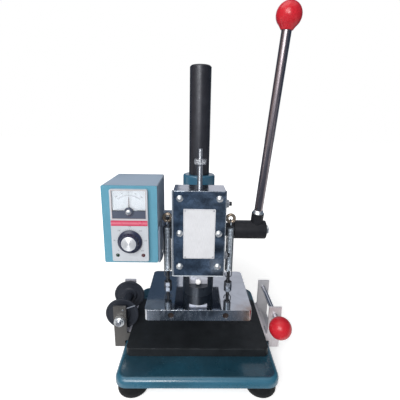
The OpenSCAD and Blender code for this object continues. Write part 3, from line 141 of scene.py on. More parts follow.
class Tree(Graph):
    """Node tree of a new material, with its main shader and places in the shared frame."""

    def __init__(self, name):
        self.mat = bpy.data.materials.new(name)
        self.mat.use_nodes = True
        super().__init__(self.mat.node_tree)
        self.bsdf = self.nodes["Principled BSDF"]
        self.coords = self.nodes.new("ShaderNodeTexCoord")
        self.where = self.coords.outputs["Object"]

    def set(self, **values):
        """Sets inputs of the main shader, with underscores for the spaces in their names."""
        for key, value in values.items():
            self.put(self.bsdf.inputs[key.replace("_", " ")], value)

    def stretch(self, scale):
        """Places in the shared frame, scaled along each axis."""
        node = self.nodes.new("ShaderNodeMapping")
        self.links.new(self.where, node.inputs["Vector"])
        node.inputs["Scale"].default_value = scale
        return node.outputs["Vector"]

    def noise(self, scale, detail=3.0, rough=0.55, vector=None, distortion=0.0):
        """Soft noise over the places, or over another vector."""
        node = self.nodes.new("ShaderNodeTexNoise")
        self.links.new(vector or self.where, node.inputs["Vector"])
        node.inputs["Scale"].default_value = scale
        node.inputs["Detail"].default_value = detail
        node.inputs["Roughness"].default_value = rough
        node.inputs["Distortion"].default_value = distortion
        return node.outputs["Fac"]

    def cells(self, scale):
        """Distance to the middle of the nearest random cell."""
        node = self.nodes.new("ShaderNodeTexVoronoi")
        self.links.new(self.where, node.inputs["Vector"])
        node.inputs["Scale"].default_value = scale
        return node.outputs["Distance"]

    def axis(self, name):
        """Place along one axis of the shared frame."""
        return self.split(self.where, name)

    def flat(self):
        """Normal of the surface before bevel and bump."""
        return self.nodes.new("ShaderNodeNewGeometry").outputs["Normal"]

    def bevel(self, radius):
        """Normal rounded over sharp edges, or None where a piece has none."""
        if not radius:
            return None
        node = self.nodes.new("ShaderNodeBevel")
        node.samples = 4
        node.inputs["Radius"].default_value = radius
        return node.outputs["Normal"]

    def edges(self, radius):
        """Mask that is 1 along sharp edges."""
        return self.ramp(self.measure("DOT_PRODUCT", self.bevel(radius), self.flat()), 0.98, 0.80)

    def bump(self, height, strength, distance=0.0004, normal=None):
        """Normal of a surface that is raised by a height, on top of another normal."""
        node = self.nodes.new("ShaderNodeBump")
        node.inputs["Strength"].default_value = strength
        node.inputs["Distance"].default_value = distance
        self.links.new(height, node.inputs["Height"])
        if normal is not None:
            self.links.new(normal, node.inputs["Normal"])
        return node.outputs["Normal"]


# Materials

FINE_STEP, STEP, WIDE_STEP = 0.2 * MM, 0.4 * MM, 0.6 * MM
HEATER_FROM, HEATER_TO = 26.0 * MM, 28.0 * MM
DUST_TOP = 8.0 * MM
GROUND_EDGE = 0.4 * MM


def enamel(name, colour, rough=0.3, coat=0.35, edge=0.0009, patch=0.16, wear=0.35, spec=0.5,
           back=None, top_shade=1.0):
    """Sprayed enamel: faint orange peel, cloudy tone, thin paint and small chips along the edges.

    back is a second colour behind the plane y = back[1], and the last factor darkens faces that look up in
    uneven painted shade.
    """
    t = Tree(name)
    cloud = t.ramp(t.noise(16, 4), 0.3, 0.7)
    tone = t.mix(cloud, shade(colour, 1 - patch), shade(colour, 1 + patch))
    if back:
        behind = t.mix(cloud, shade(back[0], 1 - patch), shade(back[0], 1 + patch))
        tone = t.mix(t.ramp(t.axis("Y"), back[1], back[1] + STEP), tone, behind)
    # Painted shade: faces that look up are darkened in uneven patches.
    if top_shade < 1:
        upward = t.ramp(t.split(t.flat(), "Z"), 0.93, 0.998)
        darkening = t.math("MULTIPLY", upward, t.ramp(t.noise(20, 4), 0.25, 0.6, 0.6, 1.0))
        tone = t.mix(darkening, tone, shade(colour, top_shade))
    dust = t.ramp(t.noise(420, 2), 0.62, 0.8, 0, 0.18)
    tone = t.mix(dust, tone, shade(colour, 1.5))
    chips = t.math("MULTIPLY", t.edges(edge * 0.7), t.ramp(t.noise(130, 4), 0.5, 0.62))
    tone = t.mix(t.math("MULTIPLY", chips, wear), tone, CHIP)
    t.set(Base_Color=tone, Coat_Weight=coat, Coat_Roughness=0.12, IOR=1.5, Specular_IOR_Level=spec,
          Roughness=t.ramp(t.noise(38, 3), 0.3, 0.7, rough * 0.8, rough * 1.25),
          Normal=t.bump(t.noise(750, 2), 0.05, normal=t.bevel(edge)))
    return t.mat


def chrome(name, colour, rough=0.06, smudge=0.12, edge=0.0006, stain=None, under=None, scuffed=None,
           cloudy=0.0, scratches=0.02):
    """Polished plating: cloudy smudges and hair scratches.

    stain is a heat stain as (centre, radius, tint), under is a height below which the metal is near
    black, scuffed is a plane y in front of which it is rubbed in upright streaks, and cloudy is
    the strength of a fine greasy film.
    """
    t = Tree(name)
    smear = t.ramp(t.noise(26, 5, 0.6, distortion=1.2), 0.42, 0.75)
    tone = t.mix(smear, colour, shade(colour, 0.86))
    if cloudy:
        darkening = t.ramp(t.noise(150, 5, 0.65, distortion=0.6), 0.4, 0.62, 0, cloudy)
        tone = t.mix(darkening, tone, shade(colour, 0.45))
    if under:
        tone = t.mix(t.ramp(t.axis("Z"), under + WIDE_STEP, under + FINE_STEP), tone, NEAR_BLACK)
    gloss = t.ramp(smear, 0, 1, rough, rough + smudge)
    if scuffed:
        streak = t.ramp(t.noise(55, 5, 0.7, vector=t.stretch((3, 1, 1))), 0.38, 0.75)
        streak = t.math("MULTIPLY", streak, t.ramp(t.axis("Y"), scuffed + WIDE_STEP, scuffed))
        gloss = t.math("ADD", gloss, t.math("MULTIPLY", streak, 0.38))
    if stain:
        centre, radius, tint = stain
        near = t.ramp(t.measure("DISTANCE", t.where, centre), radius, radius * 0.2)
        spread = t.math("MULTIPLY", near, t.ramp(t.noise(60, 4), 0.3, 0.65))
        tone = t.mix(spread, tone, tint)
    scratch = t.ramp(t.noise(90, 2, vector=t.stretch((1, 24, 9))), 0.62, 0.7)
    t.set(Base_Color=tone, Metallic=1.0, Roughness=gloss,
          Normal=t.bump(scratch, scratches, 0.0001, t.bevel(edge)))
    return t.mat


def brushed(name, colour, grain=(1, 1, 40), rough=0.28, metallic=1.0, strength=0.1, second=None):
    """Ground or drawn metal with grain lines across the stretched axis.

    second = (axis, start, end, colour) changes to another tone along an axis.
    """
    t = Tree(name)
    lines = t.noise(160, 4, 0.6, vector=t.stretch(grain))
    cloud = t.ramp(t.noise(30, 4), 0.3, 0.7)
    tone = t.mix(t.ramp(lines, 0.3, 0.7), shade(colour, 0.8), shade(colour, 1.12))
    tone = t.mix(t.math("MULTIPLY", cloud, 0.4), tone, shade(colour, 0.72))
    if second:
        axis, start, end, other = second
        beyond = t.mix(cloud, shade(other, 1.05), shade(other, 0.85))
        tone = t.mix(t.ramp(t.axis(axis), start, end), tone, beyond)
    tone = t.mix(t.math("MULTIPLY", t.edges(GROUND_EDGE), 0.4), tone, shade(colour, 1.4))
    t.set(Base_Color=tone, Metallic=metallic,
          Roughness=t.ramp(lines, 0.3, 0.7, rough * 0.75, rough * 1.3),
          Normal=t.bump(lines, strength, 0.0002, t.bevel(GROUND_EDGE)))
    return t.mat


def oxide(name, colour, rough=0.38, edge=0.0005, metallic=0.35, worn=(0.20, 0.20, 0.21, 1), grain=0.05,
          spec=0.5, bright_below=None):
    """Black oxide or satin paint on metal, rubbed brighter along the edges, and bare below a height."""
    t = Tree(name)
    cloud = t.ramp(t.noise(45, 5, 0.6), 0.3, 0.7)
    tone = t.mix(cloud, shade(colour, 0.75), shade(colour, 1.35))
    rub = t.math("MULTIPLY", t.edges(edge), t.ramp(t.noise(90, 4), 0.35, 0.7, 0.15, 0.75))
    tone = t.mix(rub, tone, worn)
    if bright_below:
        bare = t.ramp(t.axis("Z"), bright_below, bright_below - FINE_STEP)
        tone = t.mix(bare, tone, BARE_STEEL)
        metallic = t.ramp(bare, 0, 1, metallic, 0.9)
        rough += 0.15
    t.set(Base_Color=tone, Metallic=metallic, Specular_IOR_Level=spec,
          Roughness=t.ramp(t.noise(120, 4), 0.3, 0.7, rough * 0.8, rough * 1.25),
          Normal=t.bump(t.noise(1300, 3), grain, 0.0003, t.bevel(edge)))
    return t.mat


def plastic(name, colour, rough=0.3, edge=0.0005, grain=0.04, patch=0.08, spec=0.5, dust=0.1):
    """Moulded plastic: fine mould grain, slight tone drift, dust in the grain."""
    t = Tree(name)
    cloud = t.ramp(t.noise(35, 4), 0.3, 0.7)
    tone = t.mix(cloud, shade(colour, 1 - patch), shade(colour, 1 + patch))
    speck = t.ramp(t.noise(700, 2), 0.66, 0.8, 0, dust)
    tone = t.mix(speck, tone, MOULD_DUST)
    t.set(Base_Color=tone, IOR=1.5, Specular_IOR_Level=spec,
          Roughness=t.ramp(t.noise(60, 3), 0.3, 0.7, rough * 0.8, rough * 1.2),
          Normal=t.bump(t.noise(1600, 3), grain, 0.0002, t.bevel(edge)))
    return t.mat


def fastener(name, colour, heater):
    """Plated screws, with the heaters at the far sides in a dull heat-coloured sheath."""
    t = Tree(name)
    cloud = t.ramp(t.noise(60, 4), 0.3, 0.7)
    tone = t.mix(cloud, shade(colour, 0.85), shade(colour, 1.1))
    side = t.ramp(t.math("ABSOLUTE", t.axis("X")), HEATER_FROM, HEATER_TO)
    tone = t.mix(side, tone, t.mix(cloud, shade(heater, 0.6), shade(heater, 1.5)))
    t.set(Base_Color=tone, Metallic=t.ramp(side, 0, 1, 0.1, 0.4), Roughness=t.ramp(side, 0, 1, 0.35, 0.6),
          Normal=t.bump(t.noise(600, 3), 0.05, 0.0002, t.bevel(0.0003)))
    return t.mat


def coiled(name, colour, x, y, radius, wire):
    """Spring wire for upright springs at x and -x, with a painted highlight on its outside at front and
    back.

    Between the coils and at the sides the wire is darkened by painted shade.
    """
    t = Tree(name)
    dx = t.math("SUBTRACT", t.math("ABSOLUTE", t.axis("X")), x)
    dy = t.math("SUBTRACT", t.axis("Y"), y)
    away = t.math("SQRT", t.math("ADD", t.math("MULTIPLY", dx, dx), t.math("MULTIPLY", dy, dy)))
    # Painted highlight on the outside of each coil, and painted shade between the coils.
    painted_coil_light = t.ramp(away, radius + 0.05 * wire, radius + 0.85 * wire)
    # Painted highlight towards front and back, and painted shade at the sides.
    face = t.ramp(t.math("ABSOLUTE", dy), 0.82 * radius, 1.08 * radius, 0.14, 1.0)
    cloud = t.ramp(t.noise(150, 4), 0.3, 0.7)
    bright = t.mix(cloud, shade(colour, 0.85), shade(colour, 1.1))
    tone = t.mix(t.math("MULTIPLY", painted_coil_light, face), shade(colour, 0.10), bright)
    t.set(Base_Color=tone, Metallic=0.45, Roughness=t.ramp(painted_coil_light, 0, 1, 0.5, 0.24),
          Normal=t.bump(t.noise(900, 3), 0.06, 0.0001))
    return t.mat


def threaded(name, colour, pitch):
    """Steel rod with a rolled thread along Z, darker in the thread roots as painted shade."""
    t = Tree(name)
    turns = t.nodes.new("ShaderNodeTexWave")
    turns.bands_direction = "Z"
    t.links.new(t.where, turns.inputs["Vector"])
    turns.inputs["Scale"].default_value = 2 * math.pi / 20 / pitch
    cloud = t.ramp(t.noise(60, 4), 0.3, 0.7)
    # Painted shade: darker in the thread roots, lighter on the thread tops.
    tone = t.mix(t.ramp(turns.outputs["Fac"], 0, 1), shade(colour, 0.55), shade(colour, 1.1))
    tone = t.mix(t.math("MULTIPLY", cloud, 0.3), tone, shade(colour, 0.7))
    t.set(Base_Color=tone, Metallic=1.0, Roughness=t.ramp(cloud, 0, 1, 0.24, 0.39),
          Normal=t.bump(turns.outputs["Fac"], 0.5, 0.0003, t.bevel(0.0004)))
    return t.mat


def spun(name, colour, centre):
    """Spun aluminium: fine rings round an axis along Y, and a gloss that follows them."""
    t = Tree(name)
    noise = t.nodes.new("ShaderNodeTexNoise")
    noise.noise_dimensions = "1D"
    t.links.new(t.measure("DISTANCE", t.where, centre), noise.inputs["W"])
    noise.inputs["Scale"].default_value = 3500
    rings = noise.outputs["Fac"]
    turn = t.nodes.new("ShaderNodeTangent")
    turn.direction_type = "RADIAL"
    turn.axis = "Y"
    tone = t.mix(t.ramp(rings, 0.3, 0.7), shade(colour, 0.85), shade(colour, 1.1))
    t.set(Base_Color=tone, Metallic=0.6, Roughness=t.ramp(rings, 0.3, 0.7, 0.42, 0.55),
          Anisotropic=0.85, Anisotropic_Rotation=0.25, Tangent=turn.outputs["Tangent"],
          Normal=t.bump(rings, 0.06, 0.0001))
    return t.mat


def film(name, colour, mid, half):
    """Glossy red film, paler along its middle as a painted highlight."""
    t = Tree(name)
    away = t.math("ABSOLUTE", t.math("SUBTRACT", t.axis("Z"), mid))
    # Painted highlight along the middle of the strip.
    band = t.ramp(away, half * 0.75, half * 0.1)
    cloud = t.ramp(t.noise(90, 3), 0.3, 0.7)
    tone = t.mix(cloud, shade(colour, 0.92), shade(colour, 1.06))
    tone = t.mix(t.math("MULTIPLY", band, 0.35), tone, PAINTED_SHEEN)
    t.set(Base_Color=tone, Roughness=t.ramp(t.noise(200, 2), 0.3, 0.7, 0.25, 0.4), IOR=1.5,
          Normal=t.bump(t.noise(500, 2), 0.02, 0.0002, t.bevel(0.0004)))
    return t.mat


def rubber(name, colour):
    """Matte rubber, dusty near the floor."""
    t = Tree(name)
    cloud = t.ramp(t.noise(60, 5, 0.65), 0.3, 0.7)
    tone = t.mix(cloud, shade(colour, 0.7), shade(colour, 1.4))
    dusty = t.ramp(t.axis("Z"), DUST_TOP, 0.0, 0, 0.25)
    tone = t.mix(dusty, tone, FLOOR_DUST)
    t.set(Base_Color=tone, Roughness=t.ramp(t.noise(240, 3), 0.3, 0.7, 0.55, 0.8), Specular_IOR_Level=0.2,
          Normal=t.bump(t.noise(900, 4), 0.2, 0.0003, t.bevel(0.001)))
    return t.mat


def glass(name, colour):
    """Clear window with faint wiping marks."""
    t = Tree(name)
    wiped = t.ramp(t.noise(70, 4), 0.45, 0.75, 0.02, 0.12)
    t.set(Base_Color=colour, Transmission_Weight=1.0, IOR=1.45, Roughness=wiped)
    return t.mat


def lens(name, colour):
    """Unlit lamp lens with small facets inside."""
    t = Tree(name)
    facet = t.cells(1500)
    tone = t.mix(t.ramp(facet, 0.1, 0.7), shade(colour, 1.5), shade(colour, 0.7))
    t.set(Base_Color=tone, Roughness=t.ramp(facet, 0, 1, 0.12, 0.25), Coat_Weight=0.6, Coat_Roughness=0.05,
          IOR=1.5, Normal=t.bump(facet, 0.06, 0.0002))
    return t.mat


def print_ink(name, colour):
    """Printed ink, thin in spots."""
    t = Tree(name)
    thin = t.ramp(t.noise(900, 3), 0.35, 0.75, 0, 0.5)
    t.set(Base_Color=t.mix(thin, colour, shade(colour, 1.8)), Roughness=t.ramp(thin, 0, 0.5, 0.45, 0.6))
    return t.mat


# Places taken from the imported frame

def middle(a, b):
    """Halfway between two places on an axis."""
    return (a + b) / 2


BEZEL_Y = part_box("bezel")[0].y
BOX_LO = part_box("control_box")[0]
GIB_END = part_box("gib_screws")[1].x
GEARBOX_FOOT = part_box("gearbox_body")[0].z
COVER_LO, COVER_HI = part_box("front_cover")
STRIP_LO, STRIP_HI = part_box("red_strip")
CAP_LO, CAP_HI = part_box("knob_cap")
PLATE_LO, PLATE_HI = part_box("heat_plate")
SPRING_LO, SPRING_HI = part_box("return_springs")
KNOB_X, KNOB_Z = middle(CAP_LO.x, CAP_HI.x), middle(CAP_LO.z, CAP_HI.z)
WIRE_R = 0.75 * MM
SPRING_R = 5.0 * MM
SPRING_X = SPRING_HI.x - SPRING_R - WIRE_R
SPRING_Y = middle(SPRING_LO.y, SPRING_HI.y)

# Planes where one piece changes its tone

# Behind this plane the left bracket is painted lighter, as painted light.
EAR_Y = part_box("bracket_left")[0].y + 3.0 * MM
BOX_FRONT = BOX_LO.y + 1.2 * MM
NUT_TOP = PLATE_HI.z + 7.4 * MM
# Below these heights the rim's painted highlight is brightest.
RIM_FROM, RIM_TO = COVER_LO.z + 2.0 * MM, COVER_LO.z + 1.7 * MM
GIB_FROM, GIB_TO = GIB_END - 3.2 * MM, GIB_END - 3.0 * MM
BRACKET_FROM, BRACKET_TO = -10.0 * MM, 30.0 * MM
HEAT_STAIN = ((0.073, -0.071, 0.094), 0.032, (0.36, 0.22, 0.14, 1))
THREAD_PITCH = 1.25 * MM

MATS = {
    # The base casting's faces that look up are darkened by painted shade.
    "base_paint": enamel("base_paint", srgb(46, 96, 118), rough=0.28, coat=0.4, spec=0.4, top_shade=0.34),
    "head_paint": enamel("head_paint", srgb(54, 98, 122), rough=0.3, coat=0.3, spec=0.4),
    "box_paint": enamel("box_paint", srgb(90, 145, 166), rough=0.45, coat=0.0, edge=0.0006, patch=0.06,
                        wear=0.15, spec=0.25, back=(srgb(166, 182, 200), BOX_FRONT)),
    "rubber": rubber("foot_rubber", srgb(17, 20, 22)),
    "column_black": oxide("column_black", srgb(44, 45, 51), rough=0.36, metallic=0.3),
    "hub_black": oxide("hub_black", srgb(32, 33, 37), rough=0.42, metallic=0.0, spec=0.2),
    "boss_black": oxide("boss_black", srgb(34, 40, 48), rough=0.3, metallic=0.2, spec=0.3),
    "stud": oxide("stud_black", srgb(34, 36, 40), rough=0.3, metallic=0.3, bright_below=NUT_TOP),
    "table_black": oxide("table_black", srgb(30, 33, 36), rough=0.5, metallic=0.0, edge=0.0012, spec=0.25,
                         worn=(0.09, 0.10, 0.11, 1), grain=0.12),
    # Left bracket: its dark zinc tone is painted shade, and behind the front ear it is painted lighter as
    # painted light.
    "bracket_painted_shade_light": brushed("bracket_zinc_painted_shade_light", srgb(102, 100, 98), grain=(6, 6, 1), rough=0.45,
                            metallic=0.6, second=("Y", EAR_Y, EAR_Y + STEP, srgb(226, 226, 236))),
    # Right bracket: the same zinc as the left one, painted lighter as painted light, with a darker tone
    # towards the back.
    "bracket_painted_light": brushed("bracket_zinc_painted_light", srgb(224, 218, 221), grain=(6, 6, 1), rough=0.45,
                             metallic=0.5, second=("Y", BRACKET_FROM, BRACKET_TO, srgb(194, 193, 196))),
    "gusset": oxide("gusset_paint", srgb(118, 131, 148), rough=0.45, metallic=0.0,
                    worn=(0.2, 0.21, 0.23, 1)),
    "channel": oxide("channel_paint", srgb(172, 188, 210), rough=0.45, metallic=0.0,
                     worn=(0.3, 0.31, 0.33, 1)),
    "zinc": brushed("zinc_plate", srgb(178, 180, 182), grain=(6, 6, 6), rough=0.3),
    "fastener": fastener("plated_fastener", srgb(246, 247, 248), srgb(50, 40, 36)),
    "steel": brushed("ground_steel", srgb(186, 188, 196), grain=(1, 1, 30), rough=0.34, metallic=0.7),
    "ram_steel": brushed("ram_steel", srgb(216, 218, 228), grain=(1, 1, 30), rough=0.34, metallic=0.35),
    # Painted highlight: the rim's pale tone, brightest along its foot below RIM_FROM.
    "rim_painted_highlight": brushed("rim_painted_highlight", srgb(132, 140, 150), grain=(1, 1, 12), rough=0.3, metallic=0.15,
                         second=("Z", RIM_FROM, RIM_TO, srgb(206, 213, 220))),
    "gib_screw": brushed("gib_black", srgb(160, 163, 170), grain=(6, 6, 6), rough=0.35, metallic=0.5,
                         second=("X", GIB_FROM, GIB_TO, srgb(40, 42, 48))),
    "wire": brushed("drawn_wire", srgb(178, 184, 195), grain=(1, 1, 1), rough=0.4, metallic=0.55),
    "axle": chrome("axle_bright", srgb(176, 178, 184), rough=0.12, smudge=0.08, edge=0, scratches=0.0),
    # Painted highlight: the bolt cap is white to stand for a glint.
    "cap_painted_glint": plastic("cap_painted_glint", srgb(252, 252, 252), rough=0.25, dust=0.03, patch=0.02),
    "bush": brushed("bush_iron", srgb(96, 98, 102), grain=(8, 8, 8), rough=0.4, metallic=0.8),
    "thread": threaded("threaded_steel", srgb(196, 198, 202), THREAD_PITCH),
    "turned_y": brushed("turned_steel", srgb(186, 188, 194), grain=(2, 40, 2), rough=0.24),
    "gearbox": chrome("gearbox_chrome", srgb(190, 193, 202), rough=0.14, smudge=0.14, edge=0.0012,
                      under=GEARBOX_FOOT),
    "cover": chrome("cover_chrome", srgb(196, 204, 214), rough=0.05, smudge=0.08, edge=0.0014, cloudy=0.7),
    "plate": chrome("heat_plate_chrome", srgb(196, 200, 206), rough=0.06, smudge=0.1, scuffed=PLATE_LO.y,
                    stain=HEAT_STAIN),
    "rod": chrome("rod_chrome", srgb(158, 147, 150), rough=0.28, smudge=0.05, edge=0, scratches=0.0),
    "screw_bright": chrome("screw_satin", srgb(232, 234, 234), rough=0.38, smudge=0.1, edge=0.0003),
    "eye": brushed("eye_plate", srgb(186, 168, 148), grain=(8, 8, 8), rough=0.26, metallic=0.8),
    "bronze": brushed("bronze", srgb(160, 128, 86), grain=(8, 8, 8), rough=0.3),
    "red_ball": plastic("red_phenolic", srgb(192, 33, 45), rough=0.29, edge=0, grain=0.0, patch=0.04,
                        spec=0.4, dust=0.0),
    "black_plastic": plastic("black_moulding", srgb(41, 45, 54), rough=0.45, grain=0.1, spec=0.3),
    "knob_black": plastic("knob_black", srgb(37, 42, 65), rough=0.3, grain=0.03),
    "bezel": plastic("bezel_white", srgb(186, 190, 196), rough=0.5, grain=0.06, patch=0.03),
    "dial": plastic("dial_white", srgb(216, 219, 222), rough=0.5, grain=0.02, patch=0.02),
    "frame": plastic("meter_rim", srgb(190, 182, 184), rough=0.45, grain=0.03, patch=0.04),
    "band": plastic("band_dark", srgb(76, 82, 98), rough=0.4, grain=0.04),
    "bare_plate": brushed("bare_plate", srgb(216, 217, 221), grain=(30, 1, 1), rough=0.5, metallic=0.0,
                          strength=0.04),
    "knob_silver": spun("spun_silver", srgb(240, 241, 243), (KNOB_X, CAP_LO.y, KNOB_Z)),
    "strip": film("strip_red", srgb(195, 49, 84), middle(STRIP_LO.z, STRIP_HI.z),
                  (STRIP_HI.z - STRIP_LO.z) / 2),
    "needle": print_ink("needle_paint", srgb(112, 92, 92)),
    "ink": print_ink("print_ink", srgb(96, 98, 108)),
    "window": glass("meter_glass", (0.96, 0.98, 1.0, 1)),
    "lamp_green": lens("lens_green", srgb(14, 44, 32)),
    "lamp_red": lens("lens_red", srgb(74, 18, 28)),
    "spring": coiled("spring_wire", srgb(222, 234, 248), SPRING_X, SPRING_Y, SPRING_R, WIRE_R),
}

NODE_MATS = {
    "base_paint": ["base_casting"],
    "head_paint": ["head_casting"],
    "box_paint": ["control_box", "rear_cover"],
    "rubber": ["rubber_feet"],
    "column_black": ["column"],
    "hub_black": ["lever_hub", "shaft_collar"],
    "boss_black": ["coupling_boss"],
    "stud": ["spring_studs"],
    "table_black": ["table_plate"],
    "bracket_painted_shade_light": ["bracket_left"],
    "bracket_painted_light": ["bracket_right"],
    "channel": ["channel_bracket"],
    "zinc": ["foot_screws", "column_bolt", "table_screws", "bracket_screws", "clamp_bolts", "mount_bolts",
             "channel_screws", "rear_screws"],
    "gib_screw": ["gib_screws"],
    "wire": ["brake_spring"],
    "fastener": ["ram_fasteners"],
    "gearbox": ["gearbox_body"],
    "cover": ["front_cover"],
    "plate": ["heat_plate"],
    "rod": ["lever_rod"],
    "screw_bright": ["cover_screws", "hub_bolt", "axle_nut"],
    "turned_y": ["spool_axle", "knob_shaft"],
    "axle": ["rewind_axle"],
    "thread": ["stop_rod"],
    "ram_steel": ["ram"],
    "steel": ["pinion_shaft", "pinion", "pinion_key"],
    "spring": ["return_springs"],
    "bronze": ["gib"],
    "bush": ["shaft_bushes"],
    "eye": ["eye_screws"],
    "red_ball": ["rewind_ball", "lever_ball"],
    "black_plastic": ["spool_discs", "cable_gland", "controller_case"],
    "band": ["meter_band"],
    "knob_black": ["knob_skirt"],
    "bezel": ["bezel"],
    "dial": ["meter_dial"],
    "bare_plate": ["cover_plate"],
    "knob_silver": ["knob_cap"],
    "window": ["meter_window"],
    "needle": ["meter_needle"],
    "strip": ["red_strip"],
    "lamp_green": ["lamp_green"],
    "lamp_red": ["lamp_red"],
}
for key, names in NODE_MATS.items():
    for name in names:
        mesh = NODES[name].data
        mesh.materials.clear()
        mesh.materials.append(MATS[key])


# Mesh helpers

INK_GAP = 0.03 * MM
INK_THICK = 0.05 * MM
DIGIT_THICK = 0.03 * MM


def new_object(name, bm, mat, smooth=True):
    """Object from a mesh in the making, in the named material."""
    mesh = bpy.data.meshes.new(name)
    bmesh.ops.recalc_face_normals(bm, faces=bm.faces)
    for f in bm.faces:
        f.smooth = smooth
    bm.to_mesh(mesh)
    bm.free()
    mesh.materials.append(MATS[mat])
    obj = bpy.data.objects.new(name, mesh)
    scene.collection.objects.link(obj)
    return obj


def in_mm(*points):
    """Points of a turned profile as (radius, height), given in mm."""
    return [(r * MM, h * MM) for r, h in points]


def tube(bm, stations, radius, sides):
    """Closed tube along stations of point, outward normal and tangent."""
    rings = []
    for p, n, t in stations:
        b = t.cross(n)
        ring = [bm.verts.new(p + (n * math.cos(a) + b * math.sin(a)) * radius)
                for a in (2 * math.pi * k / sides for k in range(sides))]
        rings.append(ring)
    for r0, r1 in zip(rings, rings[1:]):
        for k in range(sides):
            m = (k + 1) % sides
            bm.faces.new((r0[k], r0[m], r1[m], r1[k]))
    bm.faces.new(rings[0])
    bm.faces.new(rings[-1])


def lathe(bm, profile, sides, matrix):
    """Turned shape from (radius, height) points, round the local Z axis."""
    rings = []
    for r, h in profile:
        if r == 0:
            rings.append([bm.verts.new(matrix @ Vector((0, 0, h)))])
            continue
        rings.append([bm.verts.new(matrix @ Vector((r * math.cos(a), r * math.sin(a), h)))
                      for a in (2 * math.pi * k / sides for k in range(sides))])
    for r0, r1 in zip(rings, rings[1:]):
        for k in range(sides):
            m = (k + 1) % sides
            corners = [r0[k % len(r0)], r0[m % len(r0)], r1[m % len(r1)], r1[k % len(r1)]]
            bm.faces.new(list(dict.fromkeys(corners)))


def slab(bm, size, matrix):
    """Box of the given size round the matrix's origin."""
    made = bmesh.ops.create_cube(bm, size=1.0)
    bmesh.ops.transform(bm, matrix=matrix @ Matrix.Diagonal((*size, 1)), verts=made["verts"])


def digits(bm, body, height, matrix):
    """Plain numbers in the built-in font, as thin faces."""
    curve = bpy.data.curves.new("digits", "FONT")
    curve.body = body
    curve.size = height
    curve.align_x = "CENTER"
    curve.align_y = "CENTER"
    curve.extrude = DIGIT_THICK
    curve.resolution_u = 2
    obj = bpy.data.objects.new("digits", curve)
    scene.collection.objects.link(obj)
    mesh = bpy.data.meshes.new_from_object(obj.evaluated_get(bpy.context.evaluated_depsgraph_get()))
    start = len(bm.verts)
    bm.from_mesh(mesh)
    bm.verts.ensure_lookup_table()
    bmesh.ops.transform(bm, matrix=matrix, verts=bm.verts[start:])
    bpy.data.objects.remove(obj)
    bpy.data.curves.remove(curve)
    bpy.data.meshes.remove(mesh)


def at(x, y, z):
    """Matrix that moves to a place."""
    return Matrix.Translation((x, y, z))


def turned(axis, degrees):
    """Matrix that turns about an axis."""
    return Matrix.Rotation(math.radians(degrees), 4, axis)


def facing_user(x, y, z, turn=0.0):
    """Matrix whose local XY plane faces the user, turned clockwise by an angle in degrees."""
    return at(x, y, z) @ turned("Y", turn) @ turned("X", 90)


# Return springs: one wire each, with a hook at both ends, that stretches between head and ram

ELBOW_TURN = math.radians(45)
ELBOW_STEPS = 6
HOOK_LEG = 3.0 * MM
HOOK_STEPS = 16
CURLS = 32
CURL_STEPS = 20
WIRE_SIDES = 10


def radial(a):
    """Direction outwards at an angle round the Z axis."""
    return Vector((math.cos(a), math.sin(a), 0))


def around(a):
    """Direction along the circle at an angle round the Z axis."""
    return Vector((-math.sin(a), math.cos(a), 0))


def spring_stations(z_low, z_top):
    """Stations of the wire from the lower hook to the upper one, round the Z axis."""
    up = Vector((0, 0, 1))
    rise = SPRING_R * ELBOW_TURN
    z0, z1 = z_low + HOOK_LEG + rise, z_top - HOOK_LEG - rise
    turn = 2 * math.pi * CURLS

    def end(a, z_hook, z_coil, s):
        """Elbow and hook at the upper end for s = 1 and at the lower one for s = -1."""
        out = []
        for k in range(ELBOW_STEPS + 1):
            q = math.radians(90 * k / ELBOW_STEPS)
            b = a - s * ELBOW_TURN * (1 - math.sin(q))
            p = radial(b) * SPRING_R + up * (z_coil + s * rise * (1 - math.cos(q)))
            out.append((p, radial(b), around(b) * s * math.cos(q) + up * s * math.sin(q)))
        for k in range(HOOK_STEPS + 1):
            g = math.radians(180 * k / HOOK_STEPS)
            p = radial(a) * SPRING_R * math.cos(g) + up * (z_hook + s * SPRING_R * math.sin(g))
            out.append((p, radial(a) * math.cos(g) + up * s * math.sin(g),
                        -radial(a) * math.sin(g) + up * s * math.cos(g)))
        p, n, t = out[-1]
        out.append((p - up * s * 2 * WIRE_R, n, t))
        return out

    low = [(p, n, -t) for p, n, t in reversed(end(0.0, z_low, z0, -1))]
    steps = CURLS * CURL_STEPS
    coil = []
    for i in range(1, steps):
        a = ELBOW_TURN + turn * i / steps
        coil.append((radial(a) * SPRING_R + up * (z0 + (z1 - z0) * i / steps), radial(a), around(a)))
    top = end(2 * ELBOW_TURN + turn, z_top, z1, 1)
    return low + coil + top, z0, z1


for side, name in ((-1, "spring_left"), (1, "spring_right")):
    stations, z0, z1 = spring_stations(SPRING_LO.z + SPRING_R + WIRE_R, SPRING_HI.z - SPRING_R - WIRE_R)
    bm = bmesh.new()
    tube(bm, stations, WIRE_R, WIRE_SIDES)
    bmesh.ops.transform(bm, matrix=Matrix.Diagonal((side, 1, 1, 1)), verts=bm.verts)
    bmesh.ops.translate(bm, vec=(side * SPRING_X, SPRING_Y, 0), verts=bm.verts)
    spring = new_object(name, bm, "spring")
    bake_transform(spring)
    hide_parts("return_springs")


# Printed scales: marks and numbers, spread evenly over a swing to both sides

LONG_EVERY = 5
NUMBER_STEP = 50


def mark_turn(k, count, swing):
    """Angle in degrees of mark k, from -swing for the first to swing for the last."""
    return -swing + 2 * swing * k / count


def mark(bm, place, reach, wide, tall):
    """Printed bar that stands at a reach above the local origin."""
    slab(bm, (wide, tall, INK_THICK), place @ at(0, reach + tall / 2, 0))


# Meter: printed scale, rim of the window, hump with its bright zero screw

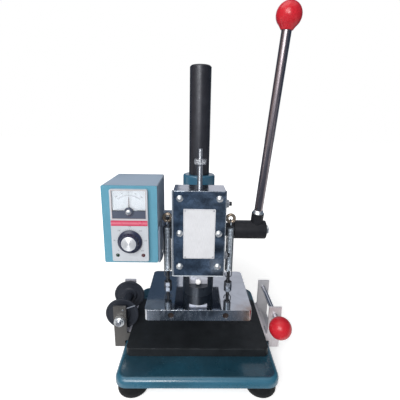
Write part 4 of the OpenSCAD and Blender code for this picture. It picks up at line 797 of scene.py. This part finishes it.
DIAL_LO, DIAL_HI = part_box("meter_dial")
WINDOW_LO, WINDOW_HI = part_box("meter_window")
BAND_LO, BAND_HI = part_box("meter_band")
METER_X = middle(DIAL_LO.x, DIAL_HI.x)
PIVOT_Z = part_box("meter_needle")[0].z + 2.0 * MM
SCALE_R = 20.2 * MM
METER_SWING = 40
ARC_BITS, ARC_BIT = 32, (0.95 * MM, 0.22 * MM, INK_THICK)
TICKS, TICK_W, TICK_LONG, TICK_SHORT = 20, 0.24 * MM, 2.4 * MM, 1.5 * MM
NUMBERS, NUMBER_H, NUMBER_UP = 4, 2.3 * MM, 4.0 * MM
FRAME_W, FRAME_THICK = 0.9 * MM, 0.5 * MM
BAND_THICK = 0.7 * MM

bm = bmesh.new()
ink_y = DIAL_LO.y - INK_GAP
for k in range(ARC_BITS + 1):
    place = facing_user(METER_X, ink_y, PIVOT_Z, mark_turn(k, ARC_BITS, METER_SWING))
    slab(bm, ARC_BIT, place @ at(0, SCALE_R, 0))
for k in range(TICKS + 1):
    place = facing_user(METER_X, ink_y, PIVOT_Z, mark_turn(k, TICKS, METER_SWING))
    mark(bm, place, SCALE_R, TICK_W, TICK_LONG if k % LONG_EVERY == 0 else TICK_SHORT)
for k in range(NUMBERS + 1):
    place = facing_user(METER_X, ink_y, PIVOT_Z, mark_turn(k, NUMBERS, METER_SWING))
    digits(bm, str(NUMBER_STEP * abs(k - NUMBERS // 2)), NUMBER_H, place @ at(0, SCALE_R + NUMBER_UP, 0))
meter_scale = new_object("meter_scale", bm, "ink", smooth=False)
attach(meter_scale, "head")

bm = bmesh.new()
wide, tall = WINDOW_HI.x - WINDOW_LO.x, WINDOW_HI.z - WINDOW_LO.z
mid_z = middle(WINDOW_LO.z, WINDOW_HI.z)
for side in (-1, 1):
    slab(bm, (FRAME_W, tall + 2 * FRAME_W, FRAME_THICK),
         facing_user(METER_X + side * (wide + FRAME_W) / 2, BEZEL_Y, mid_z))
    slab(bm, (wide, FRAME_W, FRAME_THICK),
         facing_user(METER_X, BEZEL_Y, mid_z + side * (tall + FRAME_W) / 2))
meter_rim = new_object("meter_rim", bm, "frame", smooth=False)
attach(meter_rim, "head")

bm = bmesh.new()
place = facing_user(METER_X, BEZEL_Y, PIVOT_Z)
hump = in_mm((5.8, -0.2), (5.8, 0.5), (5.3, 1.6), (4.3, 2.5), (3.6, 2.7), (3.5, 2.4), (0, 2.4))
lathe(bm, hump, sides=48, matrix=place)
band_h = BAND_HI.z - BAND_LO.z
slab(bm, (wide, band_h, BAND_THICK), facing_user(METER_X, BEZEL_Y, WINDOW_LO.z + band_h / 2))
meter_apron = new_object("meter_apron", bm, "band", smooth=False)
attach(meter_apron, "head")

bm = bmesh.new()
lathe(bm, in_mm((3.4, 2.2), (3.4, 3.0), (3.0, 3.7), (2.0, 4.1), (0, 4.3)), sides=40, matrix=place)
zero_screw = new_object("zero_screw", bm, "screw_bright")
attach(zero_screw, "head")

# Knob scale on the bezel, index line on the knob

KNOB_SWING = 130
KNOB_TICKS, KNOB_TICK_W, KNOB_TICK_R = 30, 0.25 * MM, 16.2 * MM
KNOB_LONG, KNOB_SHORT = 1.3 * MM, 0.7 * MM
KNOB_NUMBERS, KNOB_NUMBER_H, KNOB_NUMBER_R = 6, 2.6 * MM, 20.0 * MM
INDEX_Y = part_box("knob_skirt")[1].y - 3.1 * MM
INDEX_R, INDEX_TILT = 13.8 * MM, -38
INDEX_W, INDEX_L, INDEX_THICK = 0.7 * MM, 2.6 * MM, 0.3 * MM
TIP_L, TIP_UP, TIP_SUNK = 0.8 * MM, 1.5 * MM, 0.05 * MM

bm = bmesh.new()
ink_y = BEZEL_Y - INK_GAP
for k in range(KNOB_TICKS + 1):
    place = facing_user(KNOB_X, ink_y, KNOB_Z, mark_turn(k, KNOB_TICKS, KNOB_SWING))
    mark(bm, place, KNOB_TICK_R, KNOB_TICK_W, KNOB_LONG if k % LONG_EVERY == 0 else KNOB_SHORT)
for k in range(KNOB_NUMBERS + 1):
    a = math.radians(mark_turn(k, KNOB_NUMBERS, KNOB_SWING))
    x, z = KNOB_X + KNOB_NUMBER_R * math.sin(a), KNOB_Z + KNOB_NUMBER_R * math.cos(a)
    digits(bm, str(NUMBER_STEP * k), KNOB_NUMBER_H, facing_user(x, ink_y, z))
knob_scale = new_object("knob_scale", bm, "ink", smooth=False)
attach(knob_scale, "head")

bm = bmesh.new()
place = facing_user(KNOB_X, INDEX_Y, KNOB_Z, -KNOB_SWING) @ at(0, INDEX_R, 0) @ turned("X", INDEX_TILT)
slab(bm, (INDEX_W, INDEX_L, INDEX_THICK), place)
slab(bm, (INDEX_W, TIP_L, INDEX_THICK), place @ at(0, TIP_UP, -TIP_SUNK))
knob_index = new_object("knob_index", bm, "bezel", smooth=False)
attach(knob_index, "temp_knob")

# Bare plate on the cover: pressed border and corner rivets

TAG_LO, TAG_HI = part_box("cover_plate")
TAG_X, TAG_Z = middle(TAG_LO.x, TAG_HI.x), middle(TAG_LO.z, TAG_HI.z)
TAG_W, TAG_H = TAG_HI.x - TAG_LO.x, TAG_HI.z - TAG_LO.z
RIVET_IN = 2.4 * MM
BORDER_IN, BORDER_SHORTER = 0.9 * MM, 1.5 * MM
BORDER_W, BORDER_THICK = 0.3 * MM, 0.12 * MM

bm = bmesh.new()
rivet = in_mm((1.1, -0.1), (1.1, 0.15), (0.8, 0.4), (0, 0.55))
for sx in (-1, 1):
    for sz in (-1, 1):
        x = TAG_X + sx * (TAG_W / 2 - RIVET_IN)
        z = TAG_Z + sz * (TAG_H / 2 - RIVET_IN)
        lathe(bm, rivet, sides=20, matrix=facing_user(x, TAG_LO.y, z))
for side in (-1, 1):
    x = TAG_X + side * (TAG_W / 2 - BORDER_IN)
    z = TAG_Z + side * (TAG_H / 2 - BORDER_IN)
    slab(bm, (BORDER_W, TAG_H - BORDER_SHORTER, BORDER_THICK), facing_user(x, TAG_LO.y, TAG_Z))
    slab(bm, (TAG_W - BORDER_SHORTER, BORDER_W, BORDER_THICK), facing_user(TAG_X, TAG_LO.y, z))
plate_rivets = new_object("plate_rivets", bm, "steel")
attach(plate_rivets, "head")

# Rim of the gearbox beside and below the cover, pale as a painted highlight and brightest along its foot

RIM_LEFT, RIM_RIGHT, RIM_FOOT = 2.2 * MM, 1.0 * MM, 1.6 * MM
RIM_BACK, RIM_DEEP, RIM_THIN = 3.0 * MM, 5.0 * MM, 0.5 * MM
RIM_EDGE = 0.2 * MM

rim_y = COVER_LO.y + RIM_BACK
tall = COVER_HI.z - COVER_LO.z
bm = bmesh.new()
slab(bm, (RIM_LEFT, tall, RIM_DEEP), facing_user(COVER_LO.x - RIM_LEFT / 2, rim_y, COVER_LO.z + tall / 2))
slab(bm, (RIM_RIGHT, tall, RIM_DEEP), facing_user(COVER_HI.x + RIM_RIGHT / 2, rim_y, COVER_LO.z + tall / 2))
slab(bm, (COVER_HI.x - COVER_LO.x, RIM_FOOT, RIM_THIN),
     facing_user(middle(COVER_LO.x, COVER_HI.x), COVER_LO.y, COVER_LO.z + RIM_FOOT / 2))
bmesh.ops.bevel(bm, geom=bm.edges, offset=RIM_EDGE, segments=2, affect="EDGES")
gearbox_rim = new_object("gearbox_rim", bm, "rim_painted_highlight", smooth=False)
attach(gearbox_rim, "head")

# Ferrule where the lever enters its socket

HUB_AXIS = Vector((0, 10.0, 190.0)) * MM
SOCKET_X, SOCKET_H = 85.0 * MM, 27.0 * MM
LEAN_SIDE, LEAN_FRONT = 3.0, 7.0

lever_foot = (Matrix.Translation(HUB_AXIS + Vector((SOCKET_X, 0, 0)))
              @ turned("Y", LEAN_SIDE) @ turned("X", LEAN_FRONT))
bm = bmesh.new()
ferrule = in_mm((5.9, -0.2), (8.3, -0.2), (8.3, 0.5), (7.9, 1.2), (6.7, 4.2), (6.3, 4.8), (5.9, 4.9))
lathe(bm, ferrule, sides=48, matrix=lever_foot @ at(0, 0, SOCKET_H))
lever_ferrule = new_object("lever_ferrule", bm, "screw_bright")
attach(lever_ferrule, "lever")

# Ball of the lever, with a neck that flares into it as in the photo

BALL_R, LEVER_L, FLARE = 15.0 * MM, 278.0 * MM, 11.0 * MM
BALL_STEPS = 40

neck = in_mm((5.9, -14.6), (6.3, -15.4), (6.9, -15.5), (7.3, -15.1), (8.0, -14.0), (9.0, -12.6))
first = math.asin(-FLARE / BALL_R)
bulb = [(BALL_R * math.cos(a), BALL_R * math.sin(a))
        for a in (first + (math.pi / 2 - first) * k / BALL_STEPS for k in range(BALL_STEPS))]
bm = bmesh.new()
lathe(bm, neck + bulb + [(0, BALL_R)], sides=72, matrix=lever_foot @ at(0, 0, LEVER_L))
turned_ball = new_object("turned_ball", bm, "red_ball")
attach(turned_ball, "lever")
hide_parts("lever_ball")

# Gusset that carries the bracket's flange to the front of the box, with its screw

CHANNEL_LO, CHANNEL_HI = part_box("channel_bracket")
GUSSET_THICK, GUSSET_INSET, GUSSET_EDGE = 2.5 * MM, 0.05 * MM, 0.4 * MM
SCREW_Y, SCREW_UP = -20.0 * MM, 13.0 * MM

flange_y = CHANNEL_LO.y + 0.5 * MM
outline = [
    (BOX_FRONT, BOX_LO.z - 0.4 * MM),
    (flange_y - 2.0 * MM, CHANNEL_LO.z),
    (flange_y, CHANNEL_LO.z + 1.2 * MM),
    (flange_y, CHANNEL_HI.z),
    (BOX_LO.y + 6.0 * MM, CHANNEL_HI.z),
    (BOX_FRONT, CHANNEL_HI.z - 5.0 * MM),
]
bm = bmesh.new()
face = bm.faces.new([bm.verts.new((CHANNEL_LO.x + GUSSET_INSET, y, z)) for y, z in outline])
top = bmesh.ops.extrude_face_region(bm, geom=[face])
bmesh.ops.translate(bm, vec=(GUSSET_THICK - 2 * GUSSET_INSET, 0, 0),
                    verts=[v for v in top["geom"] if isinstance(v, bmesh.types.BMVert)])
bmesh.ops.recalc_face_normals(bm, faces=bm.faces)
bmesh.ops.bevel(bm, geom=bm.edges, offset=GUSSET_EDGE, segments=2, affect="EDGES")
bracket_gusset = new_object("bracket_gusset", bm, "gusset", smooth=False)
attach(bracket_gusset, "head")

bm = bmesh.new()
place = at(CHANNEL_LO.x + GUSSET_THICK, SCREW_Y, CHANNEL_LO.z + SCREW_UP) @ turned("Y", 90)
socket_head = in_mm((3.4, -0.1), (3.4, 2.4), (3.0, 2.8), (1.6, 2.8), (1.6, 1.2), (0, 1.2))
lathe(bm, socket_head, sides=24, matrix=place)
flange_screw = new_object("flange_screw", bm, "zinc")
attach(flange_screw, "head")

# Cap on the ram's front bolt, white as a painted glint

RAM_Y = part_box("ram")[0].y
BOLT_UP = 18.0 * MM

bm = bmesh.new()
cap = in_mm((3.2, -0.1), (4.0, 0.3), (4.0, 3.6), (3.4, 4.3), (1.2, 4.6), (0, 4.5))
lathe(bm, cap, sides=32, matrix=facing_user(0, RAM_Y, PLATE_HI.z + BOLT_UP))
bolt_cap = new_object("bolt_cap", bm, "cap_painted_glint")
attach(bolt_cap, "ram")


# Stage: pale floor, cards, soft light, camera

def stage_plane(name, size, matrix, mat):
    """Flat piece of the stage, which gives no direct light."""
    bm = bmesh.new()
    bmesh.ops.create_grid(bm, x_segments=1, y_segments=1, size=0.5)
    bmesh.ops.transform(bm, matrix=matrix @ Matrix.Diagonal((size[0], size[1], 1, 1)), verts=bm.verts)
    mesh = bpy.data.meshes.new(name)
    bm.to_mesh(mesh)
    bm.free()
    mesh.materials.append(mat)
    mat.cycles.emission_sampling = "NONE"
    obj = bpy.data.objects.new(name, mesh)
    scene.collection.objects.link(obj)
    return obj


def plain_ray(graph, gloss):
    """1 for camera and transmission rays, and the value or socket gloss for glossy rays."""
    path = graph.nodes.new("ShaderNodeLightPath").outputs
    clear = graph.math("MAXIMUM", path["Is Camera Ray"], path["Is Transmission Ray"])
    return graph.math("MAXIMUM", clear, graph.math("MULTIPLY", path["Is Glossy Ray"], gloss))


FLOOR_SIZE = (12.0, 12.0)
FLOOR_DROP = 0.5 * MM
FLOOR_GLOSS = 0.5
FLOOR_NEAR, FLOOR_FAR = 0.2, 0.7
NEAR_LIFT, FAR_LIFT = 0.52, 1.0

pale = Tree("floor_pale")
away = pale.measure("LENGTH", pale.where)
lift = pale.ramp(away, FLOOR_NEAR, FLOOR_FAR, NEAR_LIFT, FAR_LIFT, smooth=True)
pale.set(Base_Color=(0.86, 0.86, 0.86, 1), Roughness=1.0, Specular_IOR_Level=0.0,
         Emission_Color=(1, 1, 1, 1),
         Emission_Strength=pale.math("MULTIPLY", plain_ray(pale, FLOOR_GLOSS), lift))
stage_plane("floor", FLOOR_SIZE, at(0, 0, -FLOOR_DROP), pale.mat)


# Cards, seen only in mirror finishes, that stand for the room which the photo's reflections show

def card(name, size, matrix, left, right, fade_x=(0.42, 0.58), far=1.0, clouds=(0.55, 2.0)):
    """Card with soft clouds that fades across its width from one tone to another.

    far is a factor of its light at the edge where its local Y begins.
    """
    t = Tree(name)
    t.nodes.remove(t.bsdf)
    across = t.coords.outputs["Generated"]
    tone = t.mix(t.ramp(t.split(across, "X"), *fade_x, smooth=True), left, right)
    cloud = t.ramp(t.noise(12.0, 2.0, 0.5), 0.38, 0.66, *clouds, smooth=True)
    fade_y = t.ramp(t.split(across, "Y"), 1.0, 0.0, 1.0, far, smooth=True)
    glow = t.nodes.new("ShaderNodeEmission")
    t.put(glow.inputs["Color"], tone)
    t.put(glow.inputs["Strength"], t.math("MULTIPLY", cloud, fade_y))
    t.links.new(glow.outputs["Emission"], t.nodes["Material Output"].inputs["Surface"])
    obj = stage_plane(name, size, matrix, t.mat)
    for ray in ("camera", "diffuse", "transmission", "shadow", "volume_scatter"):
        setattr(obj, "visible_" + ray, False)


NAVY = (0.051, 0.078, 0.120, 1)
SLATE = (0.066, 0.088, 0.121, 1)
STEEL = (0.32, 0.35, 0.40, 1)
HAZE = (0.15, 0.17, 0.20, 1)
UMBER = (0.22, 0.175, 0.17, 1)
WARM = (0.30, 0.26, 0.25, 1)
DUSK = (0.075, 0.095, 0.125, 1)
GREY = (0.56, 0.57, 0.62, 1)
ASH = (0.525, 0.535, 0.585, 1)
FAINT = (1.2, 1.35)
LOW, OVER = 0.4 * MM, 0.8 * MM
UPRIGHT, SIDEWAYS = turned("X", 90), turned("Y", 90)

card("card_floor", (1.6, 1.3), at(0, -0.80, LOW), NAVY, SLATE, far=1.5)
card("card_near_left", (0.12, 0.14), at(-0.12, -0.20, OVER), STEEL, DUSK, fade_x=(0.65, 1.0))
card("card_near_right", (0.12, 0.14), at(0.12, -0.20, OVER), DUSK, WARM, fade_x=(0.0, 0.6))
card("card_near", (0.12, 0.14), at(0, -0.20, OVER), DUSK, DUSK)
card("card_patch", (0.04, 0.07), at(0.055, -0.325, OVER), HAZE, SLATE, fade_x=(0.2, 1.0))
card("card_front", (2.4, 2.2), at(0, -1.42, 1.0) @ UPRIGHT, NAVY, SLATE, far=1.5, clouds=FAINT)
card("card_fill", (0.20, 0.66), at(0.04, -0.78, 0.50) @ UPRIGHT, GREY, GREY, clouds=FAINT)
card("card_dark", (3.4, 2.4), at(0, 0.46, 1.20) @ UPRIGHT, NAVY, NAVY, clouds=FAINT)
card("card_right", (2.2, 2.6), at(1.3, -0.1, 1.0) @ SIDEWAYS, NAVY, NAVY, clouds=FAINT)
card("card_left", (2.2, 2.0), at(-1.7, 0.2, 1.0) @ SIDEWAYS, UMBER, UMBER, clouds=FAINT)
card("card_back", (0.32, 0.8), at(0.108, 0.42, 0.62) @ UPRIGHT, ASH, ASH, clouds=FAINT)

# Room light: white to the camera, grey and brighter upwards in reflections, dim elsewhere

AMBIENT = 0.26
ROOM_TOP = 0.8
ROOM_DIM, ROOM_BRIGHT = 0.3, 0.9

world = bpy.data.worlds.new("studio")
scene.world = world
world.use_nodes = True
room = Graph(world.node_tree)
ambient = room.nodes["Background"]
height = room.split(room.nodes.new("ShaderNodeTexCoord").outputs["Generated"], "Z")
upward = room.ramp(height, 0.0, ROOM_TOP, ROOM_DIM, ROOM_BRIGHT)
room.put(ambient.inputs["Color"], (1.0, 1.0, 1.0, 1))
room.put(ambient.inputs["Strength"], room.ramp(plain_ray(room, upward), 0.0, 1.0, AMBIENT, 1.0))


def area_light(name, place, target, size, power):
    """Square soft light at a place, aimed at a target."""
    data = bpy.data.lights.new(name, "AREA")
    data.shape = "SQUARE"
    data.size = size
    data.energy = power
    obj = bpy.data.objects.new(name, data)
    obj.location = place
    obj.rotation_euler = (Vector(target) - Vector(place)).to_track_quat("-Z", "Y").to_euler()
    scene.collection.objects.link(obj)


AIM = (0, 0, 0.2)
area_light("key_soft", (-0.45, -1.05, 0.85), AIM, size=0.8, power=12.5)
area_light("top_soft", (-0.35, 0.10, 1.45), AIM, size=1.0, power=4)
area_light("camera_soft", (-0.10, -0.80, 0.50), AIM, size=0.22, power=1.6)

# Camera, fitted to the photo

CAM_PLACE = Vector((-7.246, -406.055, 341.406)) * MM
YAW, PITCH, ROLL = (math.radians(a) for a in (1.147, 14.426, -1.051))
FOCAL_PX, IMAGE_PX, SENSOR = 294.888, 400, 36.0
ahead = Vector((math.sin(YAW) * math.cos(PITCH), math.cos(YAW) * math.cos(PITCH), -math.sin(PITCH)))
level = Vector((math.cos(YAW), -math.sin(YAW), 0))
down = ahead.cross(level)
right = level * math.cos(ROLL) + down * math.sin(ROLL)
below = down * math.cos(ROLL) - level * math.sin(ROLL)
cam_data = bpy.data.cameras.new("camera")
cam_data.sensor_fit = "HORIZONTAL"
cam_data.sensor_width = SENSOR
cam_data.lens = SENSOR * FOCAL_PX / IMAGE_PX
cam_data.clip_start = 0.01
cam = bpy.data.objects.new("camera", cam_data)
cam.matrix_world = Matrix.Translation(CAM_PLACE) @ Matrix((right, -below, -ahead)).transposed().to_4x4()
scene.collection.objects.link(cam)
scene.camera = cam
